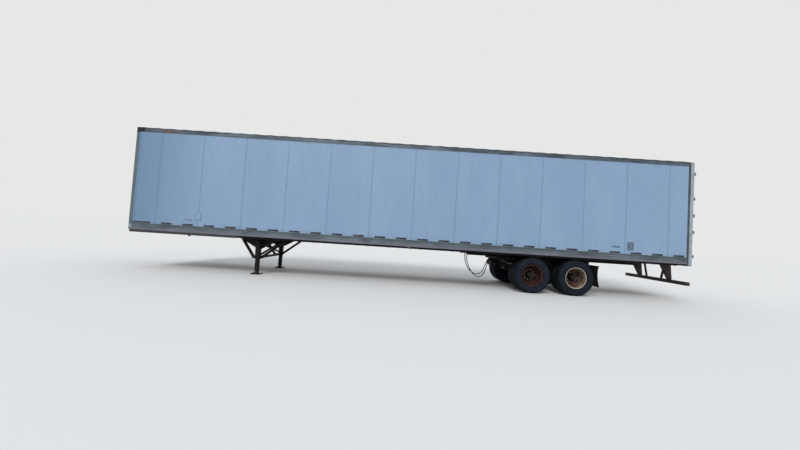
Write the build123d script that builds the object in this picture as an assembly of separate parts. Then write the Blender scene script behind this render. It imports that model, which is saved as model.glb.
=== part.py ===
from build123d import *
from math import cos, pi, radians, sin
import os

# A 53 ft dry van semi trailer, parked on its landing legs and its two rear axles.
# Millimetres. +X runs from the nose to the rear doors, +Y to the right side, +Z up.
# The origin is on the ground, below the middle of the overall length.

# Overall size
LENGTH = 16154.0
WIDTH = 2591.0
ROOF_Z = 4032.0
RAIL_BOTTOM_Z = 1100.0
FLOOR_BOTTOM_Z = 1142.0

# Body walls, rails and floor
PANEL_PITCH = 1219.2
FIRST_JOINT = 770.0
PANEL_THICK = 12.7
JOINT_GAP = 2.0
RAIL_WEB = 6.0
RAIL_DEPTH = 45.0
BOTTOM_RAIL_HEIGHT = 190.0
RAIL_RIB = 3.0
RAIL_RIBS = 5
TOP_RAIL_HEIGHT = 118.0
POST_DEPTH = 13.0
POST_WIDTH = 70.0
POST_BEVEL = 14.0
FRONT_POST_PITCH = 406.4
FLOOR_THICK = 35.0
FLOOR_FRONT_GAP = 2.0
BOARD_COUNT = 8
BOARD_GAP = 2.0
CROSS_DEPTH = 102.0
CROSS_FLANGE = 57.0
CROSS_METAL = 5.0
CROSS_PITCH = 304.8
BOW_PITCH = 406.4
BOW_DEPTH = 32.0
BOW_WIDTH = 60.0
ROOF_METAL = 3.0
ROOF_BULGE = 10.0
CORNER_RADIUS = 60.0
CORNER_WIDTH = 118.0
CORNER_METAL = 6.0

# Rear frame
REAR_POST_WIDTH = 75.0
REAR_FRAME_DEPTH = 150.0
REAR_POST_METAL = 6.0
HEADER_HEIGHT = 165.0
SILL_BOTTOM_Z = 1050.0

# Doors, their hinges and their lock rods
DOOR_THICK = 38.0
DOOR_GAP = 6.0
DOOR_MEET_GAP = 8.0
DOOR_FLOOR_GAP = 8.0
HINGE_BACK = 45.0
HINGE_INSET = 15.0
HINGE_HEIGHTS = (1330.0, 2020.0, 2490.0, 2980.0, 3700.0)
PIN_R = 6.35
PIN_PLAY = 0.3
KNUCKLE_R = 14.0
KNUCKLE_LENGTH = 60.0
LUG_LENGTH = 18.0
LUG_PLAY = 1.0
LUG_ARM = 10.0
STRAP_LENGTH = 230.0
STRAP_THICK = 8.0
STRAP_RISE = 30.0
ROD_R = 13.5
ROD_OFF = 8.0
ROD_INSETS = (210.0, 860.0)
ROD_REACH = 30.0
GUIDE_COUNT = 4
GUIDE_INSET = 150.0
GUIDE_HALF = 22.0
GUIDE_METAL = 3.0
CAM_HALF = 17.0
CAM_HEIGHT = 50.0
KEEPER_GAP = 10.0
KEEPER_METAL = 12.0
KEEPER_REACH = 30.0
HANDLE_LENGTH = 300.0
HANDLE_THICK = 10.0
HANDLE_HEIGHT = 32.0
HANDLE_Z = 1450.0

# Upper coupler and kingpin. The bolsters are (front, rear) from the nose.
COUPLER_LENGTH = 3140.0
COUPLER_BOTTOM_Z = 1030.0
COUPLER_PLATE_LENGTH = 2230.0
COUPLER_PLATE_WIDTH = 1220.0
COUPLER_PLATE_THICK = 10.0
COUPLER_LIP = 55.0
COUPLER_LIP_RISE = 25.0
SILL_INSET = 12.0
SILL_METAL = 8.0
BOLSTERS = ((60.0, 400.0), (1500.0, 1640.0), (2080.0, 2220.0), (3100.0, 3140.0))
BOLSTER_METAL = 8.0
COUPLER_BEAMS = (640.0, 1190.0, 1860.0, 2520.0, 2820.0)
KINGPIN_SETBACK = 914.0
KINGPIN_NECK_R = 25.4
KINGPIN_HEAD_R = 35.7
KINGPIN_REACH = 84.0
KINGPIN_HEAD = 33.0
KINGPIN_COLLAR = 16.0
KINGPIN_PLAY = 0.3
KINGPIN_BASE = 420.0
KINGPIN_BASE_THICK = 16.0

# Landing legs
LEG_SETBACK = 3600.0
LEG_SPACING = 1790.0
LEG_OUTER = 127.0
LEG_INNER = 102.0
LEG_METAL = 6.0
LEG_OUTER_BOTTOM_Z = 450.0
LEG_OVERLAP = 200.0
FOOT_LENGTH = 250.0
FOOT_WIDTH = 250.0
FOOT_THICK = 12.0
WING_TOP = 1000.0
WING_DROP = 300.0
WING_EDGE = 60.0
WING_METAL = 8.0
BRACE_WIDTH = 65.0
BRACE_LIFT = 35.0
BRACE_STUB = 107.0
BRACE_FRONT = 530.0
BRACE_REAR = 740.0
CROSS_BRACE = 45.0
CROSS_BRACE_PLAY = 2.0
GEAR_Z = 880.0
GEAR_BOX = (150.0, 60.0, 170.0)
GEAR_SHAFT_R = 10.0
CRANK_BAR = 20.0
CRANK_OUT = 70.0
CRANK_ARM = 330.0
CRANK_GRIP = 110.0

# Wheels and tyres. They are drawn in flat facets, and a radius is to the middle of a facet.
AXLE_SETBACK = 3311.0
AXLE_SPREAD = 1245.0
TRACK = 1968.0
DUAL_SPACING = 343.0
TYRE_SIDES = 24
RIM_SIDES = 24
HUB_SIDES = 16
TYRE_R = 508.0
TYRE_WIDTH = 275.0
TYRE_BORE_PLAY = 2.6
TREAD_HALF = 105.0
SHOULDER_DROP = 36.0
SHOULDER_HALF = 128.0
RIM_R = 285.75
RIM_FLANGE_R = 302.0
RIM_WIDTH = 230.0
FLANGE_METAL = 8.0
RIM_METAL = 9.0
DISC_METAL = 11.0
DISC_FLAT_R = 178.0
WHEEL_BORE_R = 110.5
HAND_HOLES = 5
HAND_HOLE_R = 26.0
HAND_HOLE_SIDES = 6
HAND_HOLE_CIRCLE = 208.0
HUB_R = 107.0
HUB_CAP = 150.0
HUB_CAP_R = 68.0
HUB_FLANGE_R = 170.0
DRUM_R = 206.0
DRUM_REACH = 230.0
DRUM_SHOULDER = 60.0
DRUM_METAL = 14.0

# Axles and brakes
AXLE_R = 63.5
AXLE_SHOULDER = 160.0
SPINDLE_R = 45.0
SPINDLE_PLAY = 1.0
CHAMBER_R = 80.0
CHAMBER_LENGTH = 160.0
CHAMBER_SIDES = 12
CHAMBER_BACK = 190.0
CHAMBER_Y = 380.0
CHAMBER_LIFT = 50.0
CAM_TUBE_R = 18.0
CAM_TUBE_BACK = 130.0
CAM_TUBE_DROP = 56.0

# Body rails, slider and suspension
BODY_RAIL_AHEAD = 2370.0
BODY_RAIL_LENGTH = 5200.0
BODY_RAIL_HEIGHT = 90.0
SLIDE_RAIL_Y = 545.0
RAIL_WIDTH = 76.0
RAIL_METAL = 8.0
SLIDER_AHEAD = 1470.0
SLIDER_LENGTH = 2850.0
SLIDER_HEIGHT = 100.0
SLIDE_PLAY = 2.0
CROSS_TUBE = 76.0
CROSS_TUBE_LIFT = 10.0
CLIP_LENGTH = 90.0
CLIP_GAP = 6.0
CLIP_METAL = 12.0
HANGER_TOP = 260.0
HANGER_LIFT = 90.0
HANGER_METAL = 10.0
HANGER_PLAY = 2.0
SPRING_SPAN = 1120.0
SPRING_CAMBER = 80.0
LEAF_THICK = 14.0
LEAF_KNEES = (0.0, 0.28, 0.56, 0.78, 1.0)
LEAVES = 3
SEAT_BLOCK = 30.0
SEAT_LENGTH = 120.0
CLAMP_PLATE = 14.0
CLAMP_BAR = 14.0
EQUALIZER_HALF = 125.0
EQUALIZER_HEIGHT = 70.0
RADIUS_ROD = 34.0
RADIUS_EYE_R = 26.0
RADIUS_ROD_Z = 628.0
RADIUS_SEAT_Z = 530.0
TANK_R = 120.0
TANK_LENGTH = 620.0
TANK_SIDES = 16
TANK_DOME = 45.0
TANK_GAP = 8.0

# Mud flaps
FLAP_BEHIND = 607.0
FLAP_TOP_Z = 860.0
FLAP_BOTTOM_Z = 290.0
FLAP_WIDTH = 610.0
FLAP_THICK = 9.0
FLAP_SWING = 40.0
FLAP_BAR = 30.0

# Rear guard
GUARD_BAR_Z = 535.0
GUARD_BAR_HEIGHT = 100.0
GUARD_BAR_DEPTH = 100.0
GUARD_LENGTH = 2400.0
GUARD_POST_Y = 530.0
GUARD_POST_WIDTH = 90.0
GUARD_POST_TOP = 300.0
GUARD_STRUT = 85.0
GUARD_STRUT_GAP = 90.0
GUARD_STRUT_METAL = 10.0
GUARD_STRUT_LEAN = 110.0

# Lamps and couplings
LAMP_R = 50.0
LAMP_REACH = 14.0
TAIL_LAMP_YS = (600.0, 730.0, 860.0)
MARKER_SIZE = (100.0, 26.0, 38.0)
MARKER_X = 8040.0
COUPLING_REACH = 70.0
COUPLING_R = 32.0
COUPLING_Z = 1240.0
COUPLING_PLACES = (-420.0, 420.0, 0.0)

# Air lines: points (behind the slider's front end, y, z), from the body down, round and up to the slider
HOSE_R = 12.0
HOSE_PLATE = 8.0
HOSE_SIDES = 6
HOSE_ROUTES = {
    "air_line": (
        (-880.0, -470.0, 1035.0), (-880.0, -470.0, 860.0), (-845.0, -474.0, 690.0), (-760.0, -480.0, 500.0),
        (-640.0, -482.0, 340.0), (-500.0, -480.0, 278.0), (-370.0, -474.0, 330.0), (-285.0, -468.0, 480.0),
        (-240.0, -464.0, 660.0), (-200.0, -462.0, 810.0), (-110.0, -460.0, 905.0), (0.0, -460.0, 905.0),
    ),
    "air_line_inner": (
        (-925.0, -410.0, 1035.0), (-925.0, -410.0, 880.0), (-900.0, -412.0, 720.0), (-830.0, -416.0, 560.0),
        (-710.0, -420.0, 420.0), (-560.0, -420.0, 350.0), (-420.0, -418.0, 385.0), (-325.0, -414.0, 510.0),
        (-275.0, -410.0, 670.0), (-225.0, -408.0, 800.0), (-125.0, -406.0, 885.0), (0.0, -406.0, 885.0),
    ),
}

# Places worked out from the sizes above
NOSE = -LENGTH / 2
SIDE = WIDTH / 2
REAR_FACE = NOSE + LENGTH - HINGE_BACK - KNUCKLE_R
REAR_FRAME_X = REAR_FACE - REAR_FRAME_DEPTH
PANEL_OUT = SIDE - RAIL_WEB
PANEL_IN = PANEL_OUT - PANEL_THICK
FLOOR_Z = FLOOR_BOTTOM_Z + FLOOR_THICK
CROSS_BOTTOM_Z = FLOOR_BOTTOM_Z - CROSS_DEPTH
BOTTOM_RAIL_TOP = RAIL_BOTTOM_Z + BOTTOM_RAIL_HEIGHT
TOP_RAIL_BOTTOM = ROOF_Z - TOP_RAIL_HEIGHT
CARGO_TOP = ROOF_Z - RAIL_WEB - BOW_DEPTH
DOOR_EDGE_Y = SIDE - REAR_POST_WIDTH - DOOR_GAP
DOOR_BOTTOM = FLOOR_Z + DOOR_FLOOR_GAP
DOOR_TOP = ROOF_Z - HEADER_HEIGHT - DOOR_GAP
HINGE_X = REAR_FACE + HINGE_BACK
HINGE_Y = SIDE - HINGE_INSET
REAR_AXLE_X = NOSE + LENGTH - AXLE_SETBACK
BOGIE_X = REAR_AXLE_X - AXLE_SPREAD / 2
AXLES = {"front": REAR_AXLE_X - AXLE_SPREAD, "rear": REAR_AXLE_X}
SLIDER_X = BOGIE_X - SLIDER_AHEAD
SLIDER_TOP = CROSS_BOTTOM_Z - BODY_RAIL_HEIGHT - SLIDE_PLAY
SLIDER_BOTTOM = SLIDER_TOP - SLIDER_HEIGHT
RAIL_IN = SLIDE_RAIL_Y - RAIL_WIDTH / 2
RAIL_OUT = SLIDE_RAIL_Y + RAIL_WIDTH / 2
SPRING_HALF = RAIL_WIDTH / 2 - HANGER_METAL - HANGER_PLAY
SPRING_SEAT_Z = TYRE_R + AXLE_R + SEAT_BLOCK
SPRING_TOP_Z = SPRING_SEAT_Z + LEAVES * LEAF_THICK
SPRING_TIP_Z = SPRING_TOP_Z + SPRING_CAMBER
SIDES = {"left": -1, "right": 1}


def block(x, y, z):
    """A box between two values each of x, y and z."""
    size = Box(abs(x[1] - x[0]), abs(y[1] - y[0]), abs(z[1] - z[0]))
    return Pos(sum(x) / 2, sum(y) / 2, sum(z) / 2) * size


def along_x(points, x0, x1):
    """A prism along X from an outline of (y, z) points."""
    face = make_face(Polyline(*[(x0, y, z) for y, z in points], close=True))
    return extrude(face, amount=x1 - x0, dir=(1, 0, 0))


def along_y(points, y0, y1):
    """A prism along Y from an outline of (x, z) points."""
    face = make_face(Polyline(*[(x, y0, z) for x, z in points], close=True))
    return extrude(face, amount=y1 - y0, dir=(0, 1, 0))


def along_z(points, z0, z1):
    """A prism along Z from an outline of (x, y) points."""
    face = make_face(Polyline(*[(x, y, z0) for x, y in points], close=True))
    return extrude(face, amount=z1 - z0, dir=(0, 0, 1))


def rod(start, end, radius):
    """A round bar between two points."""
    a, b = Vector(*start), Vector(*end)
    return Plane(origin=a, z_dir=b - a) * Cylinder(
        radius, (b - a).length, align=(Align.CENTER, Align.CENTER, Align.MIN)
    )


def sided_rod(start, end, radius, sides=8):
    """A bar of flat facets between two points, its radius measured to a facet."""
    a, b = Vector(*start), Vector(*end)
    section = RegularPolygon(radius, sides, major_radius=False)
    return Plane(origin=a, z_dir=b - a) * extrude(section, amount=(b - a).length)


def strut(start, end, width, across=(0, 1, 0)):
    """A square bar between two points, with one pair of its faces square to a direction."""
    a, b = Vector(*start), Vector(*end)
    return Plane(origin=a, z_dir=b - a, x_dir=across) * Box(
        width, width, (b - a).length, align=(Align.CENTER, Align.CENTER, Align.MIN)
    )


def faceted_turn(points, sides):
    """A closed outline of (radius, y) points carried round the Y axis in flat facets.

    One facet of each ring faces straight down, with its middle at the radius.
    """
    half = pi / sides
    faces = []
    for n in range(sides):
        turns = [(cos(t) / cos(half), sin(t) / cos(half)) for t in ((2 * n - 1) * half, (2 * n + 1) * half)]
        for low, high in zip(points, points[1:] + points[:1]):
            corners = [(low, turns[0]), (high, turns[0]), (high, turns[1]), (low, turns[1])]
            corners = list(dict.fromkeys((r * c, y, r * w) for (r, y), (c, w) in corners))
            if len(corners) > 2:
                faces.append(Face(Wire.make_polygon(corners, close=True)))
    return Solid(Shell(faces))


def mirrored(shape):
    """The same shape on the other side of the trailer."""
    return mirror(shape, about=Plane.XZ)


def both(shape):
    """A shape and its mirror image, for the left and the right side."""
    return [mirrored(shape), shape]


def joints_x():
    """Where the side panels meet, from the nose back to the last one ahead of the rear frame."""
    count = int((REAR_FRAME_X - NOSE - FIRST_JOINT) // PANEL_PITCH)
    return [NOSE + FIRST_JOINT + n * PANEL_PITCH for n in range(count + 1)]


# Side walls


def side_panels(side):
    """Flat plate panels, each between two joints, standing on the bottom rail's ledge."""
    edges = [NOSE + CORNER_RADIUS, *joints_x(), REAR_FRAME_X]
    y = sorted((side * PANEL_IN, side * PANEL_OUT))
    top = ROOF_Z - RAIL_WEB
    return [
        block((a + JOINT_GAP / 2, b - JOINT_GAP / 2), y, (FLOOR_BOTTOM_Z, top))
        for a, b in zip(edges, edges[1:])
    ]


def side_post(centre_x, side):
    """An upright bevelled post that joins two panels on the inside."""
    w, crown = POST_WIDTH / 2, POST_WIDTH / 2 - POST_BEVEL
    outline = [(-w, 0), (w, 0), (crown, POST_DEPTH), (-crown, POST_DEPTH)]
    points = [(centre_x + u, side * (PANEL_IN - v)) for u, v in outline]
    return along_z(points, FLOOR_Z, CARGO_TOP)


def side_posts(side):
    """One post behind each joint of a side wall."""
    return [side_post(x, side) for x in joints_x()]


def bottom_rail():
    """The extruded side rail along the floor, ribbed outside, with a ledge for the wall and floor."""
    web, r = SIDE - RAIL_WEB, RAIL_RIB
    low, high, ledge = RAIL_BOTTOM_Z, BOTTOM_RAIL_TOP, FLOOR_BOTTOM_Z
    step = BOTTOM_RAIL_HEIGHT / RAIL_RIBS
    ribs = []
    for n in range(RAIL_RIBS):
        z = low + n * step
        ribs += [(SIDE, z), (SIDE, z + step * 0.6), (SIDE - r, z + step * 0.7), (SIDE - r, z + step)]
    ribs[-1] = (SIDE - r, high)
    inner = [
        (web, high),
        (web, ledge),
        (SIDE - RAIL_DEPTH, ledge),
        (SIDE - RAIL_DEPTH, ledge - RAIL_WEB),
        (web, ledge - RAIL_WEB),
        (web, low + RAIL_WEB),
        (SIDE - RAIL_DEPTH, low + RAIL_WEB),
        (SIDE - RAIL_DEPTH, low),
    ]
    return along_x(ribs + inner, NOSE + CORNER_WIDTH, REAR_FRAME_X)


def top_rail():
    """The extruded rail along the roof's edge: an outer skirt, and a shelf over the wall."""
    web = SIDE - RAIL_WEB
    shelf = SIDE - RAIL_DEPTH
    points = [
        (SIDE, TOP_RAIL_BOTTOM),
        (SIDE, ROOF_Z),
        (shelf, ROOF_Z),
        (shelf, ROOF_Z - RAIL_WEB),
        (web, ROOF_Z - RAIL_WEB),
        (web, TOP_RAIL_BOTTOM),
    ]
    return along_x(points, NOSE + CORNER_WIDTH, REAR_FRAME_X)


# Front wall


def front_panels():
    """Two plate panels that meet in the middle of the nose."""
    x = (NOSE + CORNER_METAL, NOSE + CORNER_METAL + PANEL_THICK)
    z = (FLOOR_BOTTOM_Z, ROOF_Z - RAIL_WEB)
    panel = block(x, (JOINT_GAP / 2, SIDE - CORNER_RADIUS), z)
    return both(panel)


def front_posts():
    """Bevelled posts up the inside of the front wall."""
    w, crown = POST_WIDTH / 2, POST_WIDTH / 2 - POST_BEVEL
    x = NOSE + CORNER_METAL + PANEL_THICK
    count = int((SIDE - CORNER_WIDTH) // FRONT_POST_PITCH)
    posts = []
    for n in range(-count, count + 1):
        y = n * FRONT_POST_PITCH
        points = [(x, y - w), (x, y + w), (x + POST_DEPTH, y + crown), (x + POST_DEPTH, y - crown)]
        posts.append(along_z(points, FLOOR_Z, CARGO_TOP))
    return posts


def front_rails():
    """The flat rails across the nose, along the floor and along the roof."""
    x = (NOSE, NOSE + CORNER_METAL)
    half = SIDE - CORNER_WIDTH
    low = block(x, (-half, half), (RAIL_BOTTOM_Z, BOTTOM_RAIL_TOP))
    return [low, block(x, (-half, half), (TOP_RAIL_BOTTOM, ROOF_Z))]


def front_corner():
    """The nose's corner post: an angle with a rounded edge, over the ends of two walls."""
    x0, r, m, w = NOSE, CORNER_RADIUS, CORNER_METAL, CORNER_WIDTH
    z0 = RAIL_BOTTOM_Z
    a = (x0 + r * (1 - cos(pi / 4)), SIDE - r * (1 - sin(pi / 4)))
    b = (x0 + m + (r - m) * (1 - cos(pi / 4)), SIDE - m - (r - m) * (1 - sin(pi / 4)))
    lines = [
        Line((x0, SIDE - w, z0), (x0, SIDE - r, z0)),
        ThreePointArc((x0, SIDE - r, z0), (*a, z0), (x0 + r, SIDE, z0)),
        Line((x0 + r, SIDE, z0), (x0 + w, SIDE, z0)),
        Line((x0 + w, SIDE, z0), (x0 + w, SIDE - m, z0)),
        Line((x0 + w, SIDE - m, z0), (x0 + r, SIDE - m, z0)),
        ThreePointArc((x0 + r, SIDE - m, z0), (*b, z0), (x0 + m, SIDE - r, z0)),
        Line((x0 + m, SIDE - r, z0), (x0 + m, SIDE - w, z0)),
        Line((x0 + m, SIDE - w, z0), (x0, SIDE - w, z0)),
    ]
    return extrude(make_face(lines), amount=ROOF_Z - z0, dir=(0, 0, 1))


# Roof


def bow_places():
    """Where the roof bows lie, with the two ends of the roof first and last."""
    x0, x1 = NOSE, REAR_FRAME_X
    count = round((x1 - x0) / BOW_PITCH)
    return [x0 + n * (x1 - x0) / count for n in range(count + 1)]


def roof_sheet():
    """One thin sheet over the whole roof, raised a little between the bows."""
    places = bow_places()
    low = []
    for a, b in zip(places, places[1:]):
        low += [(a, ROOF_Z), ((a + b) / 2, ROOF_Z + ROOF_BULGE)]
    low.append((places[-1], ROOF_Z))
    top = [(x, z + ROOF_METAL) for x, z in reversed(low)]
    return along_y(low + top, -SIDE, SIDE)


def roof_bows():
    """Bevelled bows across the roof, under the valleys of the sheet."""
    half = SIDE - RAIL_DEPTH
    w = BOW_WIDTH / 2
    outline = [(-w, 0), (w, 0), (w / 2, -BOW_DEPTH), (-w / 2, -BOW_DEPTH)]
    return [along_y([(x + u, ROOF_Z + v) for u, v in outline], -half, half) for x in bow_places()[1:-1]]


# Floor


def floor_boards():
    """Laminated boards that run the length of the cargo floor."""
    x = (NOSE + CORNER_METAL + PANEL_THICK + POST_DEPTH + FLOOR_FRONT_GAP, REAR_FRAME_X)
    pitch = 2 * PANEL_IN / BOARD_COUNT
    z = (FLOOR_BOTTOM_Z, FLOOR_Z)
    boards = []
    for n in range(BOARD_COUNT):
        y = -PANEL_IN + n * pitch
        boards.append(block(x, (y + BOARD_GAP / 2, y + pitch - BOARD_GAP / 2), z))
    return boards


def crossmember(x):
    """One I-beam across the floor."""
    half = SIDE - RAIL_DEPTH
    w, m, t = CROSS_FLANGE / 2, CROSS_METAL, CROSS_METAL / 2
    z0, z1 = CROSS_BOTTOM_Z, FLOOR_BOTTOM_Z
    right = [(w, z0), (w, z0 + m), (t, z0 + m), (t, z1 - m), (w, z1 - m), (w, z1)]
    left = [(-u, z) for u, z in reversed(right)]
    return along_y([(x + u, z) for u, z in right + left], -half, half)


def crossmembers():
    """I-beams under the floor: a few over the coupler, then an even row to the rear frame."""
    start, end = NOSE + COUPLER_LENGTH + CROSS_FLANGE, REAR_FRAME_X - CROSS_FLANGE
    count = int((end - start) // CROSS_PITCH)
    over_coupler = [NOSE + x for x in COUPLER_BEAMS]
    return [crossmember(x) for x in over_coupler + [start + n * CROSS_PITCH for n in range(count + 1)]]


# Upper coupler


def coupler_frame():
    """Side sills below the bottom rails, joined by cross bolsters over the coupler plate."""
    z0, z1 = COUPLER_BOTTOM_Z + COUPLER_PLATE_THICK, RAIL_BOTTOM_Z
    y = (SIDE - SILL_INSET - SILL_METAL, SIDE - SILL_INSET)
    sill = block((NOSE + CORNER_RADIUS, NOSE + COUPLER_LENGTH), y, (COUPLER_BOTTOM_Z, z1))
    half = SIDE - RAIL_DEPTH
    frame = sill + mirrored(sill)
    for a, b in BOLSTERS:
        m = BOLSTER_METAL
        frame += block((NOSE + a, NOSE + b), (-y[0], y[0]), (z0, z1))
        frame += block((NOSE + a, NOSE + b), (-half, half), (z1, FLOOR_BOTTOM_Z))
        frame -= block((NOSE + a + m, NOSE + b - m), (m - half, half - m), (z0, FLOOR_BOTTOM_Z - m))
    return frame


def coupler_plate():
    """The rubbing plate that rests on a fifth wheel, bent up in front, with a hole for the kingpin."""
    z0, z1 = COUPLER_BOTTOM_Z, COUPLER_BOTTOM_Z + COUPLER_PLATE_THICK
    x0, x1 = NOSE + COUPLER_LIP, NOSE + COUPLER_PLATE_LENGTH
    half, rise = COUPLER_PLATE_WIDTH / 2, COUPLER_LIP_RISE
    points = [(x0, z0), (x1, z0), (x1, z1), (x0, z1), (NOSE, z1 + rise), (NOSE, z0 + rise)]
    hole = NOSE + KINGPIN_SETBACK
    return along_y(points, -half, half) - rod((hole, 0, z0), (hole, 0, z1), KINGPIN_HEAD_R + KINGPIN_PLAY)


def kingpin():
    """The pin that a fifth wheel locks round: collar, neck and head, on a square base above the plate."""
    z1 = COUPLER_BOTTOM_Z
    z0, top = z1 - KINGPIN_REACH, z1 + COUPLER_PLATE_THICK
    x, half = NOSE + KINGPIN_SETBACK, KINGPIN_BASE / 2
    neck = rod((x, 0, z0), (x, 0, z1), KINGPIN_NECK_R)
    head = rod((x, 0, z0), (x, 0, z0 + KINGPIN_HEAD), KINGPIN_HEAD_R)
    collar = rod((x, 0, z1 - KINGPIN_COLLAR), (x, 0, top), KINGPIN_HEAD_R)
    return neck + head + collar + block((x - half, x + half), (-half, half), (top, top + KINGPIN_BASE_THICK))


# Landing legs


def leg_place(side):
    """Where one leg stands."""
    return NOSE + LEG_SETBACK, side * LEG_SPACING / 2


def landing_leg(side):
    """The outer square tube of one leg, with its gear housing at the top."""
    x, y = leg_place(side)
    h, i = LEG_OUTER / 2, LEG_OUTER / 2 - LEG_METAL
    z = (LEG_OUTER_BOTTOM_Z, CROSS_BOTTOM_Z)
    tube = block((x - h, x + h), (y - h, y + h), z)
    return tube - block((x - i, x + i), (y - i, y + i), (z[0], z[1] - LEG_METAL))


def landing_foot(side):
    """The inner tube of one leg and the wide foot plate on the ground."""
    x, y = leg_place(side)
    h = LEG_INNER / 2
    tube = block((x - h, x + h), (y - h, y + h), (FOOT_THICK, LEG_OUTER_BOTTOM_Z + LEG_OVERLAP))
    l, w = FOOT_LENGTH / 2, FOOT_WIDTH / 2
    return tube + block((x - l, x + l), (y - w, y + w), (0, FOOT_THICK))


def leg_wings(side):
    """The tapered plate that hangs one leg from the crossmembers, beside the leg."""
    x, y = leg_place(side)
    top, low = CROSS_BOTTOM_Z, CROSS_BOTTOM_Z - WING_DROP
    h, w = LEG_OUTER / 2, WING_TOP / 2
    inner = y - side * (h + WING_METAL)
    edge = top - WING_EDGE
    points = [(x - w, top), (x + w, top), (x + w, edge), (x + h, low), (x - h, low), (x - w, edge)]
    y0, y1 = sorted((inner, y - side * h))
    return along_y(points, y0, y1)


def leg_braces():
    """A bar and two crossed bars between the legs, and two raking bars from each leg to the crossmembers."""
    x, _ = leg_place(1)
    h, low = LEG_OUTER / 2, LEG_OUTER_BOTTOM_Z + BRACE_LIFT
    w = BRACE_WIDTH / 2
    high = CROSS_BOTTOM_Z - w
    face = LEG_SPACING / 2 - h
    inner = face - WING_METAL
    braces = block((x - w, x + w), (-face, face), (low - w, low + w))
    between = block((x - h, x + h), (-inner, inner), (low, high))
    for side in SIDES.values():
        at = x + side * (GEAR_SHAFT_R + CROSS_BRACE_PLAY + CROSS_BRACE / 2)
        ends = (at, -side * LEG_SPACING / 2, low + h), (at, side * LEG_SPACING / 2, high - h)
        braces += strut(*ends, CROSS_BRACE, across=(1, 0, 0)) & between
    for side in SIDES.values():
        y = side * (inner - w)
        span = sorted((side * face, y - side * w))
        for end, foot in ((x - BRACE_FRONT, x - h - BRACE_STUB), (x + BRACE_REAR, x + h)):
            braces += strut((foot, y, low), (end, y, high), BRACE_WIDTH)
            braces += block(sorted((x, foot + (w if end > x else -w))), span, (low - w, low + w))
            braces += block((end - 2 * w, end + 2 * w), (y - w, y + w), (high, CROSS_BOTTOM_Z))
    return braces


def leg_gears():
    """A gear box on the outside of each leg, and the shaft that turns both legs together."""
    x, y = leg_place(1)
    length, depth, height = GEAR_BOX
    outer = y + LEG_OUTER / 2
    z = (GEAR_Z - height / 2, GEAR_Z + height / 2)
    box = block((x - length / 2, x + length / 2), (outer, outer + depth), z)
    inner = y - LEG_OUTER / 2 - WING_METAL
    return [box, mirrored(box) + crank(), sided_rod((x, -inner, GEAR_Z), (x, inner, GEAR_Z), GEAR_SHAFT_R)]


def crank():
    """The crank on the left gear box, with its arm put away along the body and its grip turned in."""
    x, y = leg_place(-1)
    w = CRANK_BAR / 2
    y0 = y - LEG_OUTER / 2 - GEAR_BOX[1]
    y1 = y0 - CRANK_OUT
    z = (GEAR_Z - w, GEAR_Z + w)
    stub = block((x - w, x + w), (y1 - w, y0), z)
    arm = block((x - w, x + CRANK_ARM), (y1 - w, y1 + w), z)
    grip = block((x + CRANK_ARM - 2 * w, x + CRANK_ARM), (y1 - CRANK_GRIP, y1 + w), z)
    return stub + arm + grip


# Running gear, drawn about the Y axis and then put in place


def tyre():
    """One tyre: a flat tread, rounded shoulders, and walls that bulge and come in to the rim."""
    r0, bead = RIM_R + TYRE_BORE_PLAY, RIM_WIDTH / 2 - FLANGE_METAL
    half = [
        (TYRE_R, TREAD_HALF), (TYRE_R - SHOULDER_DROP, SHOULDER_HALF),
        ((RIM_R + TYRE_R) / 2, TYRE_WIDTH / 2), (r0, bead),
    ]
    return faceted_turn(half + [(r, -y) for r, y in reversed(half)], TYRE_SIDES)


def disc_wheel(holes):
    """One steel disc wheel with its disc towards -Y, where it meets its twin on the hub."""
    r, f, w, e = RIM_R, RIM_FLANGE_R, RIM_WIDTH / 2, RIM_WIDTH / 2 - FLANGE_METAL
    barrel = r - RIM_METAL
    back = -DUAL_SPACING / 2
    face = back + DISC_METAL
    wheel = faceted_turn([
        (barrel, w), (f, w), (r, e), (r, -e), (f, -w), (barrel, -w), (DISC_FLAT_R, back),
        (WHEEL_BORE_R, back), (WHEEL_BORE_R, face), (DISC_FLAT_R, face), (barrel, -w / 2),
    ], RIM_SIDES)
    for n in range(holes):
        turn = 2 * pi * n / holes
        x, z = HAND_HOLE_CIRCLE * cos(turn), HAND_HOLE_CIRCLE * sin(turn)
        wheel -= sided_rod((x, back - w, z), (x, 0, z), HAND_HOLE_R, HAND_HOLE_SIDES)
    return wheel


def hub_drum():
    """The hub with its closed cap towards +Y, and the brake drum behind its flange."""
    disc = DISC_METAL
    bore = SPINDLE_R + SPINDLE_PLAY
    inside = DRUM_R - DRUM_METAL
    back, end = -DRUM_SHOULDER - disc, HUB_CAP - disc
    return faceted_turn([
        (0, HUB_CAP), (HUB_CAP_R, HUB_CAP), (HUB_R, disc), (HUB_R, -disc), (HUB_FLANGE_R, -disc),
        (DRUM_R, -DRUM_SHOULDER), (DRUM_R, -DRUM_REACH), (inside, -DRUM_REACH), (inside, back),
        (bore, back), (bore, end), (0, end),
    ], HUB_SIDES)


def wheel_parts(side, x):
    """The pair of wheels, the pair of tyres and the hub of one axle end, each in its place."""
    middle = Pos(x, side * TRACK / 2, TYRE_R)
    flip = Rot(0, 0, 0) if side > 0 else Rot(0, 0, 180)
    out = middle * flip * Pos(0, DUAL_SPACING / 2, 0)
    inn = middle * flip * Rot(0, 0, 180) * Pos(0, DUAL_SPACING / 2, 0)
    wheels = [out * disc_wheel(HAND_HOLES), inn * disc_wheel(0)]
    return wheels, [out * tyre(), inn * tyre()], middle * flip * hub_drum()


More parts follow.
